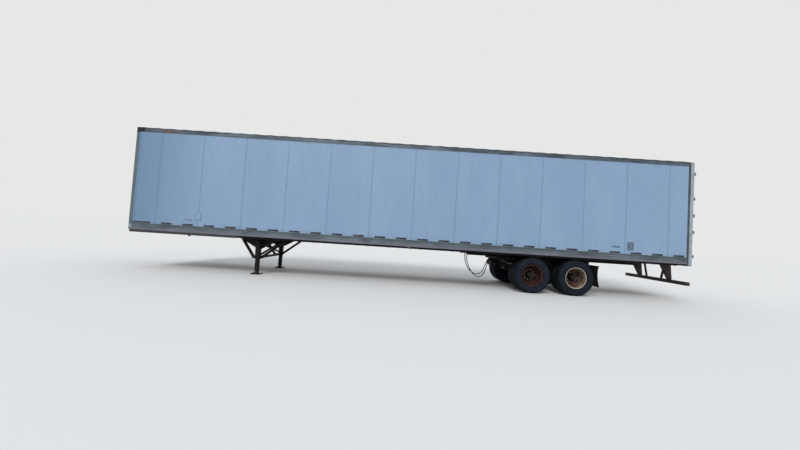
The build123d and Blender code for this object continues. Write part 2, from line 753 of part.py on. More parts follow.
def axle(x):
    """The axle tube with a thinner spindle at each end."""
    beam, end = TRACK / 2 - AXLE_SHOULDER, TRACK / 2 + HUB_CAP - 2 * DISC_METAL
    tube = rod((x, -beam, TYRE_R), (x, beam, TYRE_R), AXLE_R)
    return tube + rod((x, -end, TYRE_R), (x, end, TYRE_R), SPINDLE_R)


def brake_chamber(x):
    """The right-hand brake chamber behind one axle, its bracket, and the cam tube that runs to the drum."""
    r, half = CHAMBER_R, CHAMBER_LENGTH / 2
    rim = r * 0.8
    outline = [(0, -half), (rim, -half), (r, -half / 2), (r, half / 2), (rim, half), (0, half)]
    can = faceted_turn(outline, CHAMBER_SIDES)
    z = TYRE_R + CHAMBER_LIFT
    can = Pos(x + CHAMBER_BACK, CHAMBER_Y, z) * Rot(0, 0, 90) * can
    front = x + CHAMBER_BACK - half
    w = CAM_TUBE_R
    arm = block((x, front), (CHAMBER_Y - w, CHAMBER_Y + w), (TYRE_R, z))
    arm -= rod((x, CHAMBER_Y - w, TYRE_R), (x, CHAMBER_Y + w, TYRE_R), AXLE_R)
    return can + arm


def brake_cam(x):
    """The right-hand tube behind one axle that carries the brake's cam from the chamber to the drum."""
    at = x + CAM_TUBE_BACK
    start = CHAMBER_Y + CHAMBER_R * 0.5
    end = TRACK / 2 - DRUM_REACH
    z = TYRE_R - CAM_TUBE_DROP
    tube = sided_rod((at, start, z), (at, end, z), CAM_TUBE_R)
    inner = RAIL_OUT + CLAMP_BAR + SEAT_BLOCK
    arm = block((x, at), (inner, inner + CAM_TUBE_R), (z - CAM_TUBE_R, z + CAM_TUBE_R))
    return tube + (arm - rod((x, inner, TYRE_R), (x, inner + CAM_TUBE_R, TYRE_R), AXLE_R))


# Slider and suspension


def body_rails():
    """The channels under the crossmembers that the slider runs along, with the air lines' bracket."""
    starts = [SLIDER_X + points[0][0] for points in HOSE_ROUTES.values()]
    edge = 2 * HOSE_R
    plate = hose_bracket(0, min(starts) - edge, max(starts) + edge, CROSS_BOTTOM_Z)
    return [body_rail(), mirrored(body_rail()) + plate]


def body_rail():
    """The channel on the right; its twin is its mirror image."""
    z1 = CROSS_BOTTOM_Z
    z0, m = z1 - BODY_RAIL_HEIGHT, RAIL_METAL
    a, b = RAIL_IN, RAIL_OUT
    points = [(a, z0), (b, z0), (b, z0 + m), (a + m, z0 + m), (a + m, z1 - m), (b, z1 - m), (b, z1), (a, z1)]
    start = BOGIE_X - BODY_RAIL_AHEAD
    return along_x(points, start, start + BODY_RAIL_LENGTH)


def hanger_places():
    """Where the three hangers of each side stand along the slider."""
    return BOGIE_X - AXLE_SPREAD, BOGIE_X, BOGIE_X + AXLE_SPREAD


def slider_frame():
    """Two box rails, four cross tubes, six spring hangers and the clips that hold it to the body's rails."""
    z0, z1 = SLIDER_BOTTOM, SLIDER_TOP
    x0, x1 = SLIDER_X, SLIDER_X + SLIDER_LENGTH
    a, b = RAIL_IN, RAIL_OUT
    rail = block((x0, x1), (a, b), (z0, z1))
    hanger_low = TYRE_R + HANGER_LIFT
    w = HANGER_TOP / 2
    for x in hanger_places():
        points = [(x - w, z0), (x + w, z0), (x + w / 2, hanger_low), (x - w / 2, hanger_low)]
        rail += along_y(points, a, a + HANGER_METAL)
        rail += along_y(points, b - HANGER_METAL, b)
    front, middle, rear = hanger_places()
    shoe = w * 0.8
    for x in (front, rear):
        rail += block((x - shoe, x + shoe), (a, b), (SPRING_TIP_Z, z0))
    leg, hook = b + CLIP_GAP, z1 + SLIDE_PLAY + RAIL_METAL + CLIP_GAP
    out, low = leg + CLIP_METAL, z0 + SLIDER_HEIGHT / 3
    clip = [
        (b, low), (out, low), (out, hook + CLIP_METAL), (b - CLIP_METAL, hook + CLIP_METAL),
        (b - CLIP_METAL, hook), (leg, hook), (leg, z1 - CLIP_METAL), (b, z1 - CLIP_METAL),
    ]
    for x in (x0, middle - HANGER_TOP, middle + HANGER_TOP, x1 - CLIP_LENGTH):
        rail += along_x(clip, x, x + CLIP_LENGTH)
    frame = rail + mirrored(rail)
    h = CROSS_TUBE / 2
    low = z0 + CROSS_TUBE_LIFT
    for x in (x0 + CROSS_TUBE, middle - HANGER_TOP, middle + HANGER_TOP, x1 - CROSS_TUBE):
        frame += block((x - h, x + h), (-a, a), (low, low + CROSS_TUBE))
    return frame + hose_bracket(-1, x0, x0 + HOSE_PLATE, z1)


def hose_bracket(end, x0, x1, top):
    """The plate on the left rail's inner face that every air line ends on, at its first or last point."""
    edge = 2 * HOSE_R
    y = max(points[end][1] for points in HOSE_ROUTES.values()) + edge
    low = min(points[end][2] for points in HOSE_ROUTES.values()) - (edge if end else 0)
    return block((x0, x1), (-RAIL_IN, y), (low, top))


def leaf_spring(x):
    """One pack of bent leaves over an axle, each a knee shorter than the one above it, on its seat."""
    y0, y1 = SLIDE_RAIL_Y - SPRING_HALF, SLIDE_RAIL_Y + SPRING_HALF
    t = LEAF_THICK
    half = SEAT_LENGTH / 2
    pack = block((x - half, x + half), (y0, y1), (TYRE_R, SPRING_SEAT_Z + t / 2))
    pack -= rod((x, y0, TYRE_R), (x, y1, TYRE_R), AXLE_R)
    for n in range(LEAVES):
        z = SPRING_SEAT_Z + (LEAVES - 1 - n) * t
        shares = LEAF_KNEES[:len(LEAF_KNEES) - n]
        shares = [-u for u in reversed(shares[1:])] + list(shares)
        low = [(x + u * SPRING_SPAN / 2, z + u * u * SPRING_CAMBER) for u in shares]
        pack += along_y(low + [(px, pz + t) for px, pz in reversed(low)], y0, y1)
    return pack


def spring_clamp(x):
    """Two U-bolts over one spring and axle, drawn as a plate above, a plate below and four bars."""
    bar, y = CLAMP_BAR, SLIDE_RAIL_Y
    bar_x, bar_y = AXLE_R + bar, SPRING_HALF + bar
    plate_x, plate_y = (x - bar_x - bar, x + bar_x + bar), (y - bar_y - bar, y + bar_y + bar)
    rise = SPRING_CAMBER * LEAF_KNEES[1] * (bar_x + bar) / (SPRING_SPAN / 2)
    top, low = SPRING_TOP_Z + rise, TYRE_R - AXLE_R - CLAMP_PLATE
    clamp = block(plate_x, plate_y, (top, top + CLAMP_PLATE))
    clamp += block(plate_x, plate_y, (low, low + CLAMP_PLATE))
    for u in (-bar_x, bar_x):
        for v in (-bar_y, bar_y):
            clamp += block((x + u - bar / 2, x + u + bar / 2), (y + v - bar / 2, y + v + bar / 2), (low, top))
    return clamp


def equalizer():
    """The rocker in a middle hanger, which bears on the ends of both springs and shares the load."""
    tip, w, h = SPRING_TIP_Z, EQUALIZER_HALF, EQUALIZER_HEIGHT
    outline = [
        (-w, tip), (-w / 4, tip), (0, tip - h / 3), (w / 4, tip), (w, tip),
        (w, tip + h / 4), (w / 3, tip + h), (-w / 3, tip + h), (-w, tip + h / 4),
    ]
    points = [(BOGIE_X + u, z) for u, z in outline]
    return along_y(points, SLIDE_RAIL_Y - SPRING_HALF, SLIDE_RAIL_Y + SPRING_HALF)


def radius_rod(hanger_x, axle_x):
    """The rod from a hanger back to the seat of the axle behind it, with an eye at each end."""
    y, r = SLIDE_RAIL_Y, RADIUS_EYE_R
    seat_x = axle_x - AXLE_R - CLAMP_BAR * 2 - r
    ends = [(hanger_x, RADIUS_ROD_Z), (seat_x, RADIUS_SEAT_Z)]
    bar = strut(*[(x, y, z) for x, z in ends], RADIUS_ROD)
    for x, z in ends:
        bar += sided_rod((x, y - SPRING_HALF, z), (x, y + SPRING_HALF, z), r)
    w = RADIUS_ROD / 2
    link = block((seat_x, axle_x - SEAT_LENGTH / 2), (y - w, y + w), (TYRE_R, RADIUS_SEAT_Z + w / 2))
    return bar + (link - rod((axle_x, y - w, TYRE_R), (axle_x, y + w, TYRE_R), AXLE_R))


def air_tank():
    """The air reservoir across the slider, hung from its front cross tube by two straps."""
    half, dome = TANK_LENGTH / 2, TANK_DOME
    outline = [(0, -half), (TANK_R / 2, -half), (TANK_R, dome - half)]
    tank = faceted_turn(outline + [(r, -y) for r, y in reversed(outline)], TANK_SIDES)
    x = SLIDER_X + CROSS_TUBE
    top = SLIDER_BOTTOM + CROSS_TUBE_LIFT
    z = top - TANK_GAP - TANK_R
    tank = Pos(x, 0, z) * tank
    w = TANK_R / 2
    for y in (-half / 2, half / 2):
        tank += block((x - w, x + w), (y - dome / 2, y + dome / 2), (z + w, top))
    return tank


def mud_flap():
    """A rubber flap behind the rear wheels, curved a little by the wind and its own weight."""
    x, t = REAR_AXLE_X + FLAP_BEHIND, FLAP_THICK
    y0, y1 = TRACK / 2 - FLAP_WIDTH / 2, TRACK / 2 + FLAP_WIDTH / 2
    low = (x + FLAP_SWING, FLAP_BOTTOM_Z)
    mid = (x - FLAP_SWING / 2, (FLAP_TOP_Z + FLAP_BOTTOM_Z) / 2)
    top = (x, FLAP_TOP_Z)
    front = [(px, y0, pz) for px, pz in (low, mid, top)]
    back = [(px + t, y0, pz) for px, pz in (low, mid, top)]
    lines = [ThreePointArc(*front), Line(front[2], back[2]), ThreePointArc(*back), Line(back[0], front[0])]
    return extrude(make_face(lines), amount=y1 - y0, dir=(0, 1, 0))


def flap_hanger():
    """The bar that carries a mud flap from the slider's rail."""
    x, t = REAR_AXLE_X + FLAP_BEHIND, FLAP_THICK
    y0, y1 = RAIL_OUT, TRACK / 2 + FLAP_WIDTH / 2
    return block((x - t, x + 2 * t), (y0, y1), (FLAP_TOP_Z, FLAP_TOP_Z + FLAP_BAR))


# Rear frame and guard


def rear_post():
    """The box post at one side of the rear opening."""
    y, m = (SIDE - REAR_POST_WIDTH, SIDE), REAR_POST_METAL
    z = (SILL_BOTTOM_Z, ROOF_Z)
    post = block((REAR_FRAME_X, REAR_FACE), y, z)
    hollow = block((REAR_FRAME_X, REAR_FACE - m), (y[0] + m, y[1] - m), (z[0] + m, z[1] - m))
    return post - hollow


def hinge_butt(z):
    """Two lugs on the rear post, and the pin between them, its radius measured to an edge."""
    reach = KNUCKLE_LENGTH / 2 + LUG_PLAY
    butt = sided_rod((HINGE_X, HINGE_Y, z - reach), (HINGE_X, HINGE_Y, z + reach), PIN_R * cos(pi / 8))
    r, bevel = KNUCKLE_R, KNUCKLE_R * 0.7
    half = [(REAR_FACE, LUG_ARM), (HINGE_X, r), (HINGE_X + bevel, bevel), (HINGE_X + r, 0)]
    outline = half + [(x, -v) for x, v in reversed(half[:-1])]
    points = [(x, HINGE_Y + v) for x, v in outline]
    for low in (z - reach - LUG_LENGTH, z + reach):
        butt += along_z(points, low, low + LUG_LENGTH)
    return butt


def rear_side():
    """One rear post with its hinge butts welded on."""
    post = rear_post()
    for z in HINGE_HEIGHTS:
        post += hinge_butt(z)
    return post


def rear_beam(z0, z1):
    """A box beam between the rear posts, open towards the nose."""
    half, m = SIDE - REAR_POST_WIDTH, REAR_POST_METAL
    beam = block((REAR_FRAME_X, REAR_FACE), (-half, half), (z0, z1))
    return beam - block((REAR_FRAME_X, REAR_FACE - m), (-half, half), (z0 + m, z1 - m))


def rod_places():
    """Where the four lock rods stand across the rear."""
    ys = [DOOR_EDGE_Y - inset for inset in ROD_INSETS]
    return ys + [-y for y in ys]


def keepers(z0, z1):
    """The pairs of cheeks on the rear frame that the ends of the lock rods turn into."""
    near, far = CAM_HALF + KEEPER_GAP, CAM_HALF + KEEPER_GAP + KEEPER_METAL
    cheeks = []
    for y in rod_places():
        for side in SIDES.values():
            span = sorted((y + side * near, y + side * far))
            cheeks.append(block((REAR_FACE, REAR_FACE + KEEPER_REACH), span, (z0, z1)))
    return cheeks


def rear_header():
    """The beam over the doors, with the rods' upper keepers."""
    low = ROOF_Z - HEADER_HEIGHT
    beam = rear_beam(low, ROOF_Z)
    for cheek in keepers(low + RAIL_WEB, low + ROD_REACH + KEEPER_REACH):
        beam += cheek
    return beam


def rear_sill():
    """The beam under the doors, with the rods' lower keepers."""
    beam = rear_beam(SILL_BOTTOM_Z, FLOOR_Z)
    for cheek in keepers(FLOOR_Z - ROD_REACH - KEEPER_REACH, FLOOR_Z - RAIL_WEB):
        beam += cheek
    return beam


def rear_guard():
    """The bumper bar, its two tapered posts from the sill, and a strut inside each that leans inwards."""
    bar_z = (GUARD_BAR_Z - GUARD_BAR_HEIGHT / 2, GUARD_BAR_Z + GUARD_BAR_HEIGHT / 2)
    bar_x = (REAR_FACE - GUARD_BAR_DEPTH / 2, REAR_FACE + GUARD_BAR_DEPTH / 2)
    guard = block(bar_x, (-GUARD_LENGTH / 2, GUARD_LENGTH / 2), bar_z)
    top = SILL_BOTTOM_Z
    foot_x = bar_x[1] - GUARD_STRUT_METAL
    outline = [(REAR_FACE - GUARD_POST_TOP, top), (REAR_FACE, top), (foot_x, bar_z[1]), (bar_x[0], bar_z[1])]
    for side in SIDES.values():
        y0, y1 = sorted((side * GUARD_POST_Y, side * (GUARD_POST_Y + GUARD_POST_WIDTH)))
        guard += along_y(outline, y0, y1)
        w = GUARD_STRUT
        head = GUARD_POST_Y - GUARD_STRUT_GAP - w
        foot = head - GUARD_STRUT_LEAN
        slant = [(head, top), (head + w, top), (foot + w, bar_z[1]), (foot, bar_z[1])]
        guard += along_x([(side * v, z) for v, z in slant], REAR_FACE - GUARD_STRUT_METAL, REAR_FACE)
    return guard


# Doors


def door():
    """The right-hand door: a flat plate door with a raised edge."""
    z = (DOOR_BOTTOM, DOOR_TOP)
    x = (REAR_FACE - DOOR_THICK, REAR_FACE)
    y = (DOOR_MEET_GAP / 2, DOOR_EDGE_Y)
    return block(x, y, z)


def hinge_strap(z):
    """One strap from the door's face, over the edge of the post and round the hinge pin."""
    t, r, edge = STRAP_THICK, KNUCKLE_R, DOOR_EDGE_Y - HINGE_Y
    root, low = HINGE_BACK - r * 0.6, -r * 0.6
    outline = [
        (0, -STRAP_LENGTH), (0, edge - t), (t, edge), (t, -STRAP_RISE), (root, low), (root + 2 * t, low),
        (2 * t, -STRAP_RISE - t), (t, edge - 2 * t), (t, -STRAP_LENGTH),
    ]
    points = [(REAR_FACE + u, HINGE_Y + v) for u, v in outline]
    ends = [(HINGE_X, HINGE_Y, z - KNUCKLE_LENGTH / 2), (HINGE_X, HINGE_Y, z + KNUCKLE_LENGTH / 2)]
    strap = along_z(points, ends[0][2], ends[1][2]) + sided_rod(*ends, r * cos(pi / 8))
    return strap - sided_rod(*ends, PIN_R + PIN_PLAY)


def lock_rod(inset):
    """One full-height lock rod of a right-hand door, with its guides, end cams and handle."""
    x, y = REAR_FACE + ROD_OFF + ROD_R, DOOR_EDGE_Y - inset
    z0, z1 = DOOR_BOTTOM - ROD_REACH, DOOR_TOP + ROD_REACH
    bar = sided_rod((x, y, z0), (x, y, z1), ROD_R)
    outer = x + ROD_R + GUIDE_METAL
    step = (DOOR_TOP - DOOR_BOTTOM - 2 * GUIDE_INSET) / (GUIDE_COUNT - 1)
    for n in range(GUIDE_COUNT):
        z = DOOR_BOTTOM + GUIDE_INSET + n * step
        bar += block((REAR_FACE, outer), (y - GUIDE_HALF, y + GUIDE_HALF), (z - GUIDE_HALF, z + GUIDE_HALF))
    for low in (z0, z1 - CAM_HEIGHT):
        bar += block((REAR_FACE + ROD_OFF, outer), (y - CAM_HALF, y + CAM_HALF), (low, low + CAM_HEIGHT))
    side = 1 if inset > DOOR_EDGE_Y / 2 else -1
    reach = sorted((y, y + side * HANDLE_LENGTH))
    bar += block((x - HANDLE_THICK / 2, x + HANDLE_THICK / 2), reach, (HANDLE_Z, HANDLE_Z + HANDLE_HEIGHT))
    return bar


# Lines and small fittings


def tail_lamp(y):
    """A round lamp on the face of the rear sill."""
    z = (SILL_BOTTOM_Z + FLOOR_Z) / 2
    return sided_rod((REAR_FACE, y, z), (REAR_FACE + LAMP_REACH, y, z), LAMP_R, 12)


def marker_lamps():
    """A side lamp under each bottom rail at mid length, and three over the doors on the header."""
    length, depth, height = MARKER_SIZE
    x, inner = NOSE + MARKER_X, SIDE - RAIL_DEPTH + RAIL_RIB
    y = (inner, inner + depth)
    lamps = both(block((x - length / 2, x + length / 2), y, (RAIL_BOTTOM_Z - height, RAIL_BOTTOM_Z)))
    z = ROOF_Z - HEADER_HEIGHT / 2
    for n in (-1, 0, 1):
        at = n * 1.5 * length
        span = (at - length / 2, at + length / 2)
        lamps.append(block((REAR_FACE, REAR_FACE + LAMP_REACH), span, (z, z + height)))
    return lamps


def gladhand(y):
    """An air coupling on the nose: a round body on a short stem."""
    mid = NOSE - COUPLING_REACH / 2
    body = sided_rod((NOSE - COUPLING_REACH, y, COUPLING_Z), (mid, y, COUPLING_Z), COUPLING_R, 12)
    return body + sided_rod((mid, y, COUPLING_Z), (NOSE, y, COUPLING_Z), COUPLING_R / 2)


def hose(name, points):
    """One air line along its route, with its arcs as large as its runs allow."""
    points = [Vector(SLIDER_X + x, y, z) for x, y, z in points]
    radii = []
    for a, b, c in zip(points, points[1:], points[2:]):
        turn = radians((b - a).get_angle(c - b))
        radii.append(0.45 * min((b - a).length, (c - b).length) / sin(turn / 2) * cos(turn / 2))
    path = FilletPolyline(*points, radius=radii)
    start = Plane(origin=points[0], z_dir=points[1] - points[0])
    print(name, round(path.length), "mm long, arcs", [round(r) for r in radii])
    return sweep(start * RegularPolygon(HOSE_R, HOSE_SIDES), path=path)


NODES = {}


def keep(name, shapes):
    """Store one node under its name."""
    shapes = shapes if isinstance(shapes, list) else [shapes]
    NODES[name] = Compound(children=[s for shape in shapes for s in shape.solids()])


for name, side in SIDES.items():
    keep(f"side_panels_{name}", side_panels(side))
    keep(f"side_posts_{name}", side_posts(side))
keep("bottom_rails", both(bottom_rail()))
keep("top_rails", both(top_rail()))
keep("front_panels", front_panels())
keep("front_posts", front_posts())
keep("front_rails", front_rails())
keep("front_corners", both(front_corner()))
keep("roof_sheet", roof_sheet())
keep("roof_bows", roof_bows())
keep("floor_boards", floor_boards())
keep("crossmembers", crossmembers())
keep("coupler_frame", coupler_frame())
keep("coupler_plate", coupler_plate())
keep("kingpin", kingpin())
keep("landing_legs", [landing_leg(1), landing_leg(-1)])
keep("landing_feet", [landing_foot(1), landing_foot(-1)])
keep("leg_wings", [leg_wings(1), leg_wings(-1)])
keep("leg_braces", leg_braces())
keep("leg_gears", leg_gears())
keep("rear_posts", both(rear_side()))
keep("rear_header", rear_header())
keep("rear_sill", rear_sill())
keep("rear_guard", rear_guard())
keep("tail_lamps", [tail_lamp(y * side) for y in TAIL_LAMP_YS for side in SIDES.values()])
keep("marker_lamps", marker_lamps())
keep("gladhands", [gladhand(y) for y in COUPLING_PLACES])
keep("body_rails", body_rails())
keep("slider_frame", slider_frame())
keep("axles", [axle(x) for x in AXLES.values()])
keep("brake_chambers", [s for x in AXLES.values() for s in both(brake_chamber(x)) + both(brake_cam(x))])
keep("leaf_springs", [s for x in AXLES.values() for s in both(leaf_spring(x))])
keep("spring_clamps", [s for x in AXLES.values() for s in both(spring_clamp(x))])
keep("equalizers", both(equalizer()))
keep("radius_rods", [s for pair in zip(hanger_places(), AXLES.values()) for s in both(radius_rod(*pair))])
keep("air_tank", air_tank())
keep("mud_flaps", both(mud_flap()))
keep("flap_hangers", both(flap_hanger()))
for name, route in HOSE_ROUTES.items():
    keep(name, hose(name, route))

right_door = {
    "door": door(),
    "door_hinges": [hinge_strap(z) for z in HINGE_HEIGHTS],
    "lock_rods": [lock_rod(inset) for inset in ROD_INSETS],
}
for name, shapes in right_door.items():
    shapes = shapes if isinstance(shapes, list) else [shapes]
    keep(f"{name}_right", shapes)
    keep(f"{name}_left", [mirrored(s) for s in shapes])

for end, x in AXLES.items():
    for name, side in SIDES.items():
        wheels, tyres, hub = wheel_parts(side, x)
        keep(f"wheels_{end}_{name}", wheels)
        keep(f"tyres_{end}_{name}", tyres)
        keep(f"hub_{end}_{name}", hub)

os.makedirs("parts", exist_ok=True)
for name, shape in NODES.items():
    export_step(shape, f"parts/{name}.step")
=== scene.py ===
from math import cos, pi, radians, sin

import bmesh
import bpy
from mathutils import Euler, Matrix, Vector, noise


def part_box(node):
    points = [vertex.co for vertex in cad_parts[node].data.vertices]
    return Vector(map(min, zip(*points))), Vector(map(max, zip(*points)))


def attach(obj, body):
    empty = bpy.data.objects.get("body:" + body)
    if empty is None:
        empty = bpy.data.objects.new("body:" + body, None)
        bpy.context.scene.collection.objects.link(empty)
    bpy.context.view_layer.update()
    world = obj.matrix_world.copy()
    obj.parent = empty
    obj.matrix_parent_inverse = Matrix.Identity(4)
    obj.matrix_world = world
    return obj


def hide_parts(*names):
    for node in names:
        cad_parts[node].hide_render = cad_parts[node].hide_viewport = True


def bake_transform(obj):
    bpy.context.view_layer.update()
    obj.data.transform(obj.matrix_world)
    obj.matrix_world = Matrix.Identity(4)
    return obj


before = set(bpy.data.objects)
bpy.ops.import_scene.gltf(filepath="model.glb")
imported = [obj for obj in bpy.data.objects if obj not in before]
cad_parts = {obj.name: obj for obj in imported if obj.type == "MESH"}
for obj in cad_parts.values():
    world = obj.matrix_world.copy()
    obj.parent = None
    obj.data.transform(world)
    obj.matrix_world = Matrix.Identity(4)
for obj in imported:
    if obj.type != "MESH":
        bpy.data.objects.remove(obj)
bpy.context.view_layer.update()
scene = bpy.context.scene


# Camera
# A very wide lens beside the left wall, low above the ground, aimed a little up and
# turned about its own axis, so that the long body slopes down towards the rear.

lens = bpy.data.cameras.new("camera")
lens.lens, lens.sensor_width = 13.98, 36
lens.clip_start, lens.clip_end = 0.05, 400
camera = bpy.data.objects.new("camera", lens)
scene.collection.objects.link(camera)
eye, aim_up, roll = (-0.331, -10.145, 1.387), radians(2.03), radians(3.65)
aim = Euler((pi / 2 + aim_up, 0, 0)).to_matrix().to_4x4() @ Matrix.Rotation(roll, 4, "Z")
camera.matrix_world = Matrix.Translation(eye) @ aim
scene.camera = camera


# Air lines
# Two rubber hoses from a bracket under the floor back to the slider, with a brass union on
# each end. They hang in a loop, whose slack is for the slider's travel.

def linear(code):
    """An sRGB hex colour as the linear colour that a socket takes."""
    channels = [int(code[n:n + 2], 16) / 255 for n in (1, 3, 5)]
    return (*[c / 12.92 if c < 0.04045 else ((c + 0.055) / 1.055) ** 2.4 for c in channels], 1)


def add(material, kind, settings):
    """Add a node. A setting is an option, an input's value, or the output that feeds it."""
    made = material.node_tree.nodes.new(kind)
    for name, value in settings.items():
        if isinstance(value, bpy.types.NodeSocket):
            material.node_tree.links.new(value, made.inputs[name])
        elif isinstance(name, int) or name in made.inputs:
            made.inputs[name].default_value = value
        else:
            setattr(made, name, value)
    return made


def stained(material, place, size, cover, strength, soft, stretch=(1, 1, 1), zone=None):
    """Where a stain shows: patches of a size in mm over a share of the surface.

    A zone of (axis, low, high, fade) in metres keeps it to a band along that axis, or to a
    ring where the (x, z) of an axle takes the place of the axis.
    """
    spread = add(material, "ShaderNodeMapping", {"Scale": stretch, "Vector": place})
    cloud = add(material, "ShaderNodeTexNoise", {
        "Scale": 1000 / size, "Detail": 6.0, "Roughness": 0.62, "Vector": spread.outputs[0]})
    edge = 0.5 + (0.5 - cover) * 0.5
    mask = add(material, "ShaderNodeMapRange", {
        "interpolation_type": "SMOOTHSTEP", "From Min": edge - soft, "From Max": edge + soft,
        "To Max": strength, "Value": cloud.outputs["Fac"]}).outputs[0]
    if zone:
        axis, low, high, fade = zone
        if isinstance(axis, str):
            along = add(material, "ShaderNodeSeparateXYZ", {"Vector": place}).outputs[axis]
        else:
            flat = add(material, "ShaderNodeMapping", {
                "Location": (-axis[0], 0, -axis[1]), "Scale": (1, 0, 1), "Vector": place})
            along = add(material, "ShaderNodeVectorMath", {
                "operation": "LENGTH", 0: flat.outputs[0]}).outputs["Value"]
        for start, stop in ((low - fade, low + fade), (high + fade, high - fade)):
            side = add(material, "ShaderNodeMapRange", {
                "interpolation_type": "SMOOTHSTEP", "From Min": start, "From Max": stop,
                "Value": along})
            mask = add(material, "ShaderNodeMath", {
                "operation": "MULTIPLY", 0: mask, 1: side.outputs[0]}).outputs[0]
    return mask


def surface(name, base, stains, roughness, metallic=0.0, rough_stains=0.2, bump=0.0,
            bump_size=2.0, coat=0.0, shine=0.5):
    """A worn finish: a base colour under stains, the last of which is also rougher.

    A stain is (colour, size, cover, strength, softness, stretch, zone), as stained() takes
    them. The relief's height and size are in mm.
    """
    material = bpy.data.materials.new(name)
    material.use_nodes = True
    shader = material.node_tree.nodes["Principled BSDF"]
    place = add(material, "ShaderNodeTexCoord", {}).outputs["Object"]
    colour = linear(base)
    for stain, *how in stains:
        worn = stained(material, place, *how)
        colour = add(material, "ShaderNodeMix", {
            "data_type": "RGBA", 0: worn, 6: colour, 7: linear(stain)}).outputs[2]
    material.node_tree.links.new(colour, shader.inputs["Base Color"])
    rough = add(material, "ShaderNodeMapRange", {
        "To Min": roughness, "To Max": min(1.0, roughness + rough_stains), "Value": worn})
    material.node_tree.links.new(rough.outputs[0], shader.inputs["Roughness"])
    shader.inputs["Metallic"].default_value = metallic
    shader.inputs["Coat Weight"].default_value = coat
    shader.inputs["Specular IOR Level"].default_value = shine
    if bump:
        grain = add(material, "ShaderNodeTexNoise", {
            "Scale": 1000 / bump_size, "Detail": 4.0, "Vector": place})
        relief = add(material, "ShaderNodeBump", {
            "Strength": 0.6, "Distance": bump / 1000, "Height": grain.outputs["Fac"]})
        material.node_tree.links.new(relief.outputs[0], shader.inputs["Normal"])
    return material


def shape(name, bm):
    """Keep a finished bmesh as a mesh."""
    mesh = bpy.data.meshes.new(name)
    bm.to_mesh(mesh)
    bm.free()
    return mesh


def piece(name, bm, material, body, stands_for=(), flat=32):
    """Finish one piece: faces outwards, smooth up to an angle, dressed, riding on its body."""
    bmesh.ops.recalc_face_normals(bm, faces=bm.faces)
    mesh = shape(name, bm)
    mesh.materials.append(material)
    mesh.shade_smooth()
    mesh.set_sharp_from_angle(angle=radians(flat))
    made = bpy.data.objects.new(name, mesh)
    scene.collection.objects.link(made)
    if body:
        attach(made, body)
    if stands_for:
        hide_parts(*stands_for)
    return made


def facing(at, out):
    """The place of a shape made about Z, once it is moved to a point and Z turned outwards."""
    return Matrix.LocRotScale(Vector(at), Vector(out).to_track_quat("Z", "Y"), None)


def bar(bm, start, end, radius, sides=16, end_radius=None):
    """A round or many-sided bar between two points."""
    start, end = Vector(start), Vector(end)
    bmesh.ops.create_cone(
        bm, cap_ends=True, segments=sides, depth=(end - start).length, radius1=radius,
        radius2=radius if end_radius is None else end_radius,
        matrix=facing((start + end) / 2, end - start))


def spline(name, points, thick=0.0):
    """A smooth curve that the points pull towards them."""
    curve = bpy.data.curves.new(name, "CURVE")
    curve.dimensions, curve.bevel_depth, curve.bevel_resolution = "3D", thick, 4
    line = curve.splines.new("NURBS")
    line.points.add(len(points) - 1)
    for point, at in zip(line.points, points):
        point.co = (*at, 1)
    line.order_u, line.use_endpoint_u, line.resolution_u = 3, True, 8
    return bpy.data.objects.new(name, curve)


# Extruded rubber is black and matt, with grey road dust that dulls it in patches.
hose_rubber = surface("dusty_hose_rubber", "#08090a", [
    ("#141516", 60, 0.5, 0.6, 0.14),
    ("#33312d", 14, 0.22, 0.3, 0.1),
], roughness=0.62, bump=0.3, bump_size=3, shine=0.25)
# Turned brass keeps a dull yellow gleam between brown stains of tarnish.
fitting_brass = surface("tarnished_brass", "#6d5c36", [
    ("#332d1f", 9, 0.5, 0.7, 0.1),
], roughness=0.38, metallic=0.9, rough_stains=0.3)

slider_front, line_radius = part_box("slider_frame")[0][0], 0.012
line_routes = {
    "air_line": (1.779, [
        (-0.880, -0.470, 1.035), (-0.880, -0.470, 0.860), (-0.845, -0.474, 0.690),
        (-0.760, -0.480, 0.500), (-0.640, -0.482, 0.340), (-0.500, -0.480, 0.278),
        (-0.370, -0.474, 0.330), (-0.285, -0.468, 0.480), (-0.240, -0.464, 0.660),
        (-0.200, -0.462, 0.810), (-0.110, -0.460, 0.905), (0.0, -0.460, 0.905),
    ]),
    "air_line_inner": (1.683, [
        (-0.925, -0.410, 1.035), (-0.925, -0.410, 0.880), (-0.900, -0.412, 0.720),
        (-0.830, -0.416, 0.560), (-0.710, -0.420, 0.420), (-0.560, -0.420, 0.350),
        (-0.420, -0.418, 0.385), (-0.325, -0.414, 0.510), (-0.275, -0.410, 0.670),
        (-0.225, -0.408, 0.800), (-0.125, -0.406, 0.885), (0.0, -0.406, 0.885),
    ]),
}
for name, (length, points) in line_routes.items():
    route = [(slider_front + x, y, z) for x, y, z in points]
    guide = spline(f"{name}_route", route)
    along = [v.co.copy() for v in bpy.data.meshes.new_from_object(guide).vertices]
    thick = spline(f"{name}_tube", route, line_radius)
    tube = bpy.data.meshes.new_from_object(thick)
    for spare in (guide, thick):
        bpy.data.objects.remove(spare)
    bm = bmesh.new()
    bm.from_mesh(tube)
    bmesh.ops.remove_doubles(bm, verts=bm.verts, dist=0.0002)
    bmesh.ops.holes_fill(bm, edges=[e for e in bm.edges if e.is_boundary])
    hose = piece(f"{name}_hose", bm, hose_rubber, None, [name], flat=60)
    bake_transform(hose)
    for body, end, along_hose in (
        ("trailer", route[0], Vector((0, 0, -1))), ("bogie", route[-1], Vector((-1, 0, 0))),
    ):
        bm, end = bmesh.new(), Vector(end)
        bar(bm, end, end + along_hose * 0.045, line_radius + 0.003, 20)
        bar(bm, end, end + along_hose * 0.018, line_radius + 0.009, 6)
        piece(f"{name}_fitting_{body}", bm, fitting_brass, body)


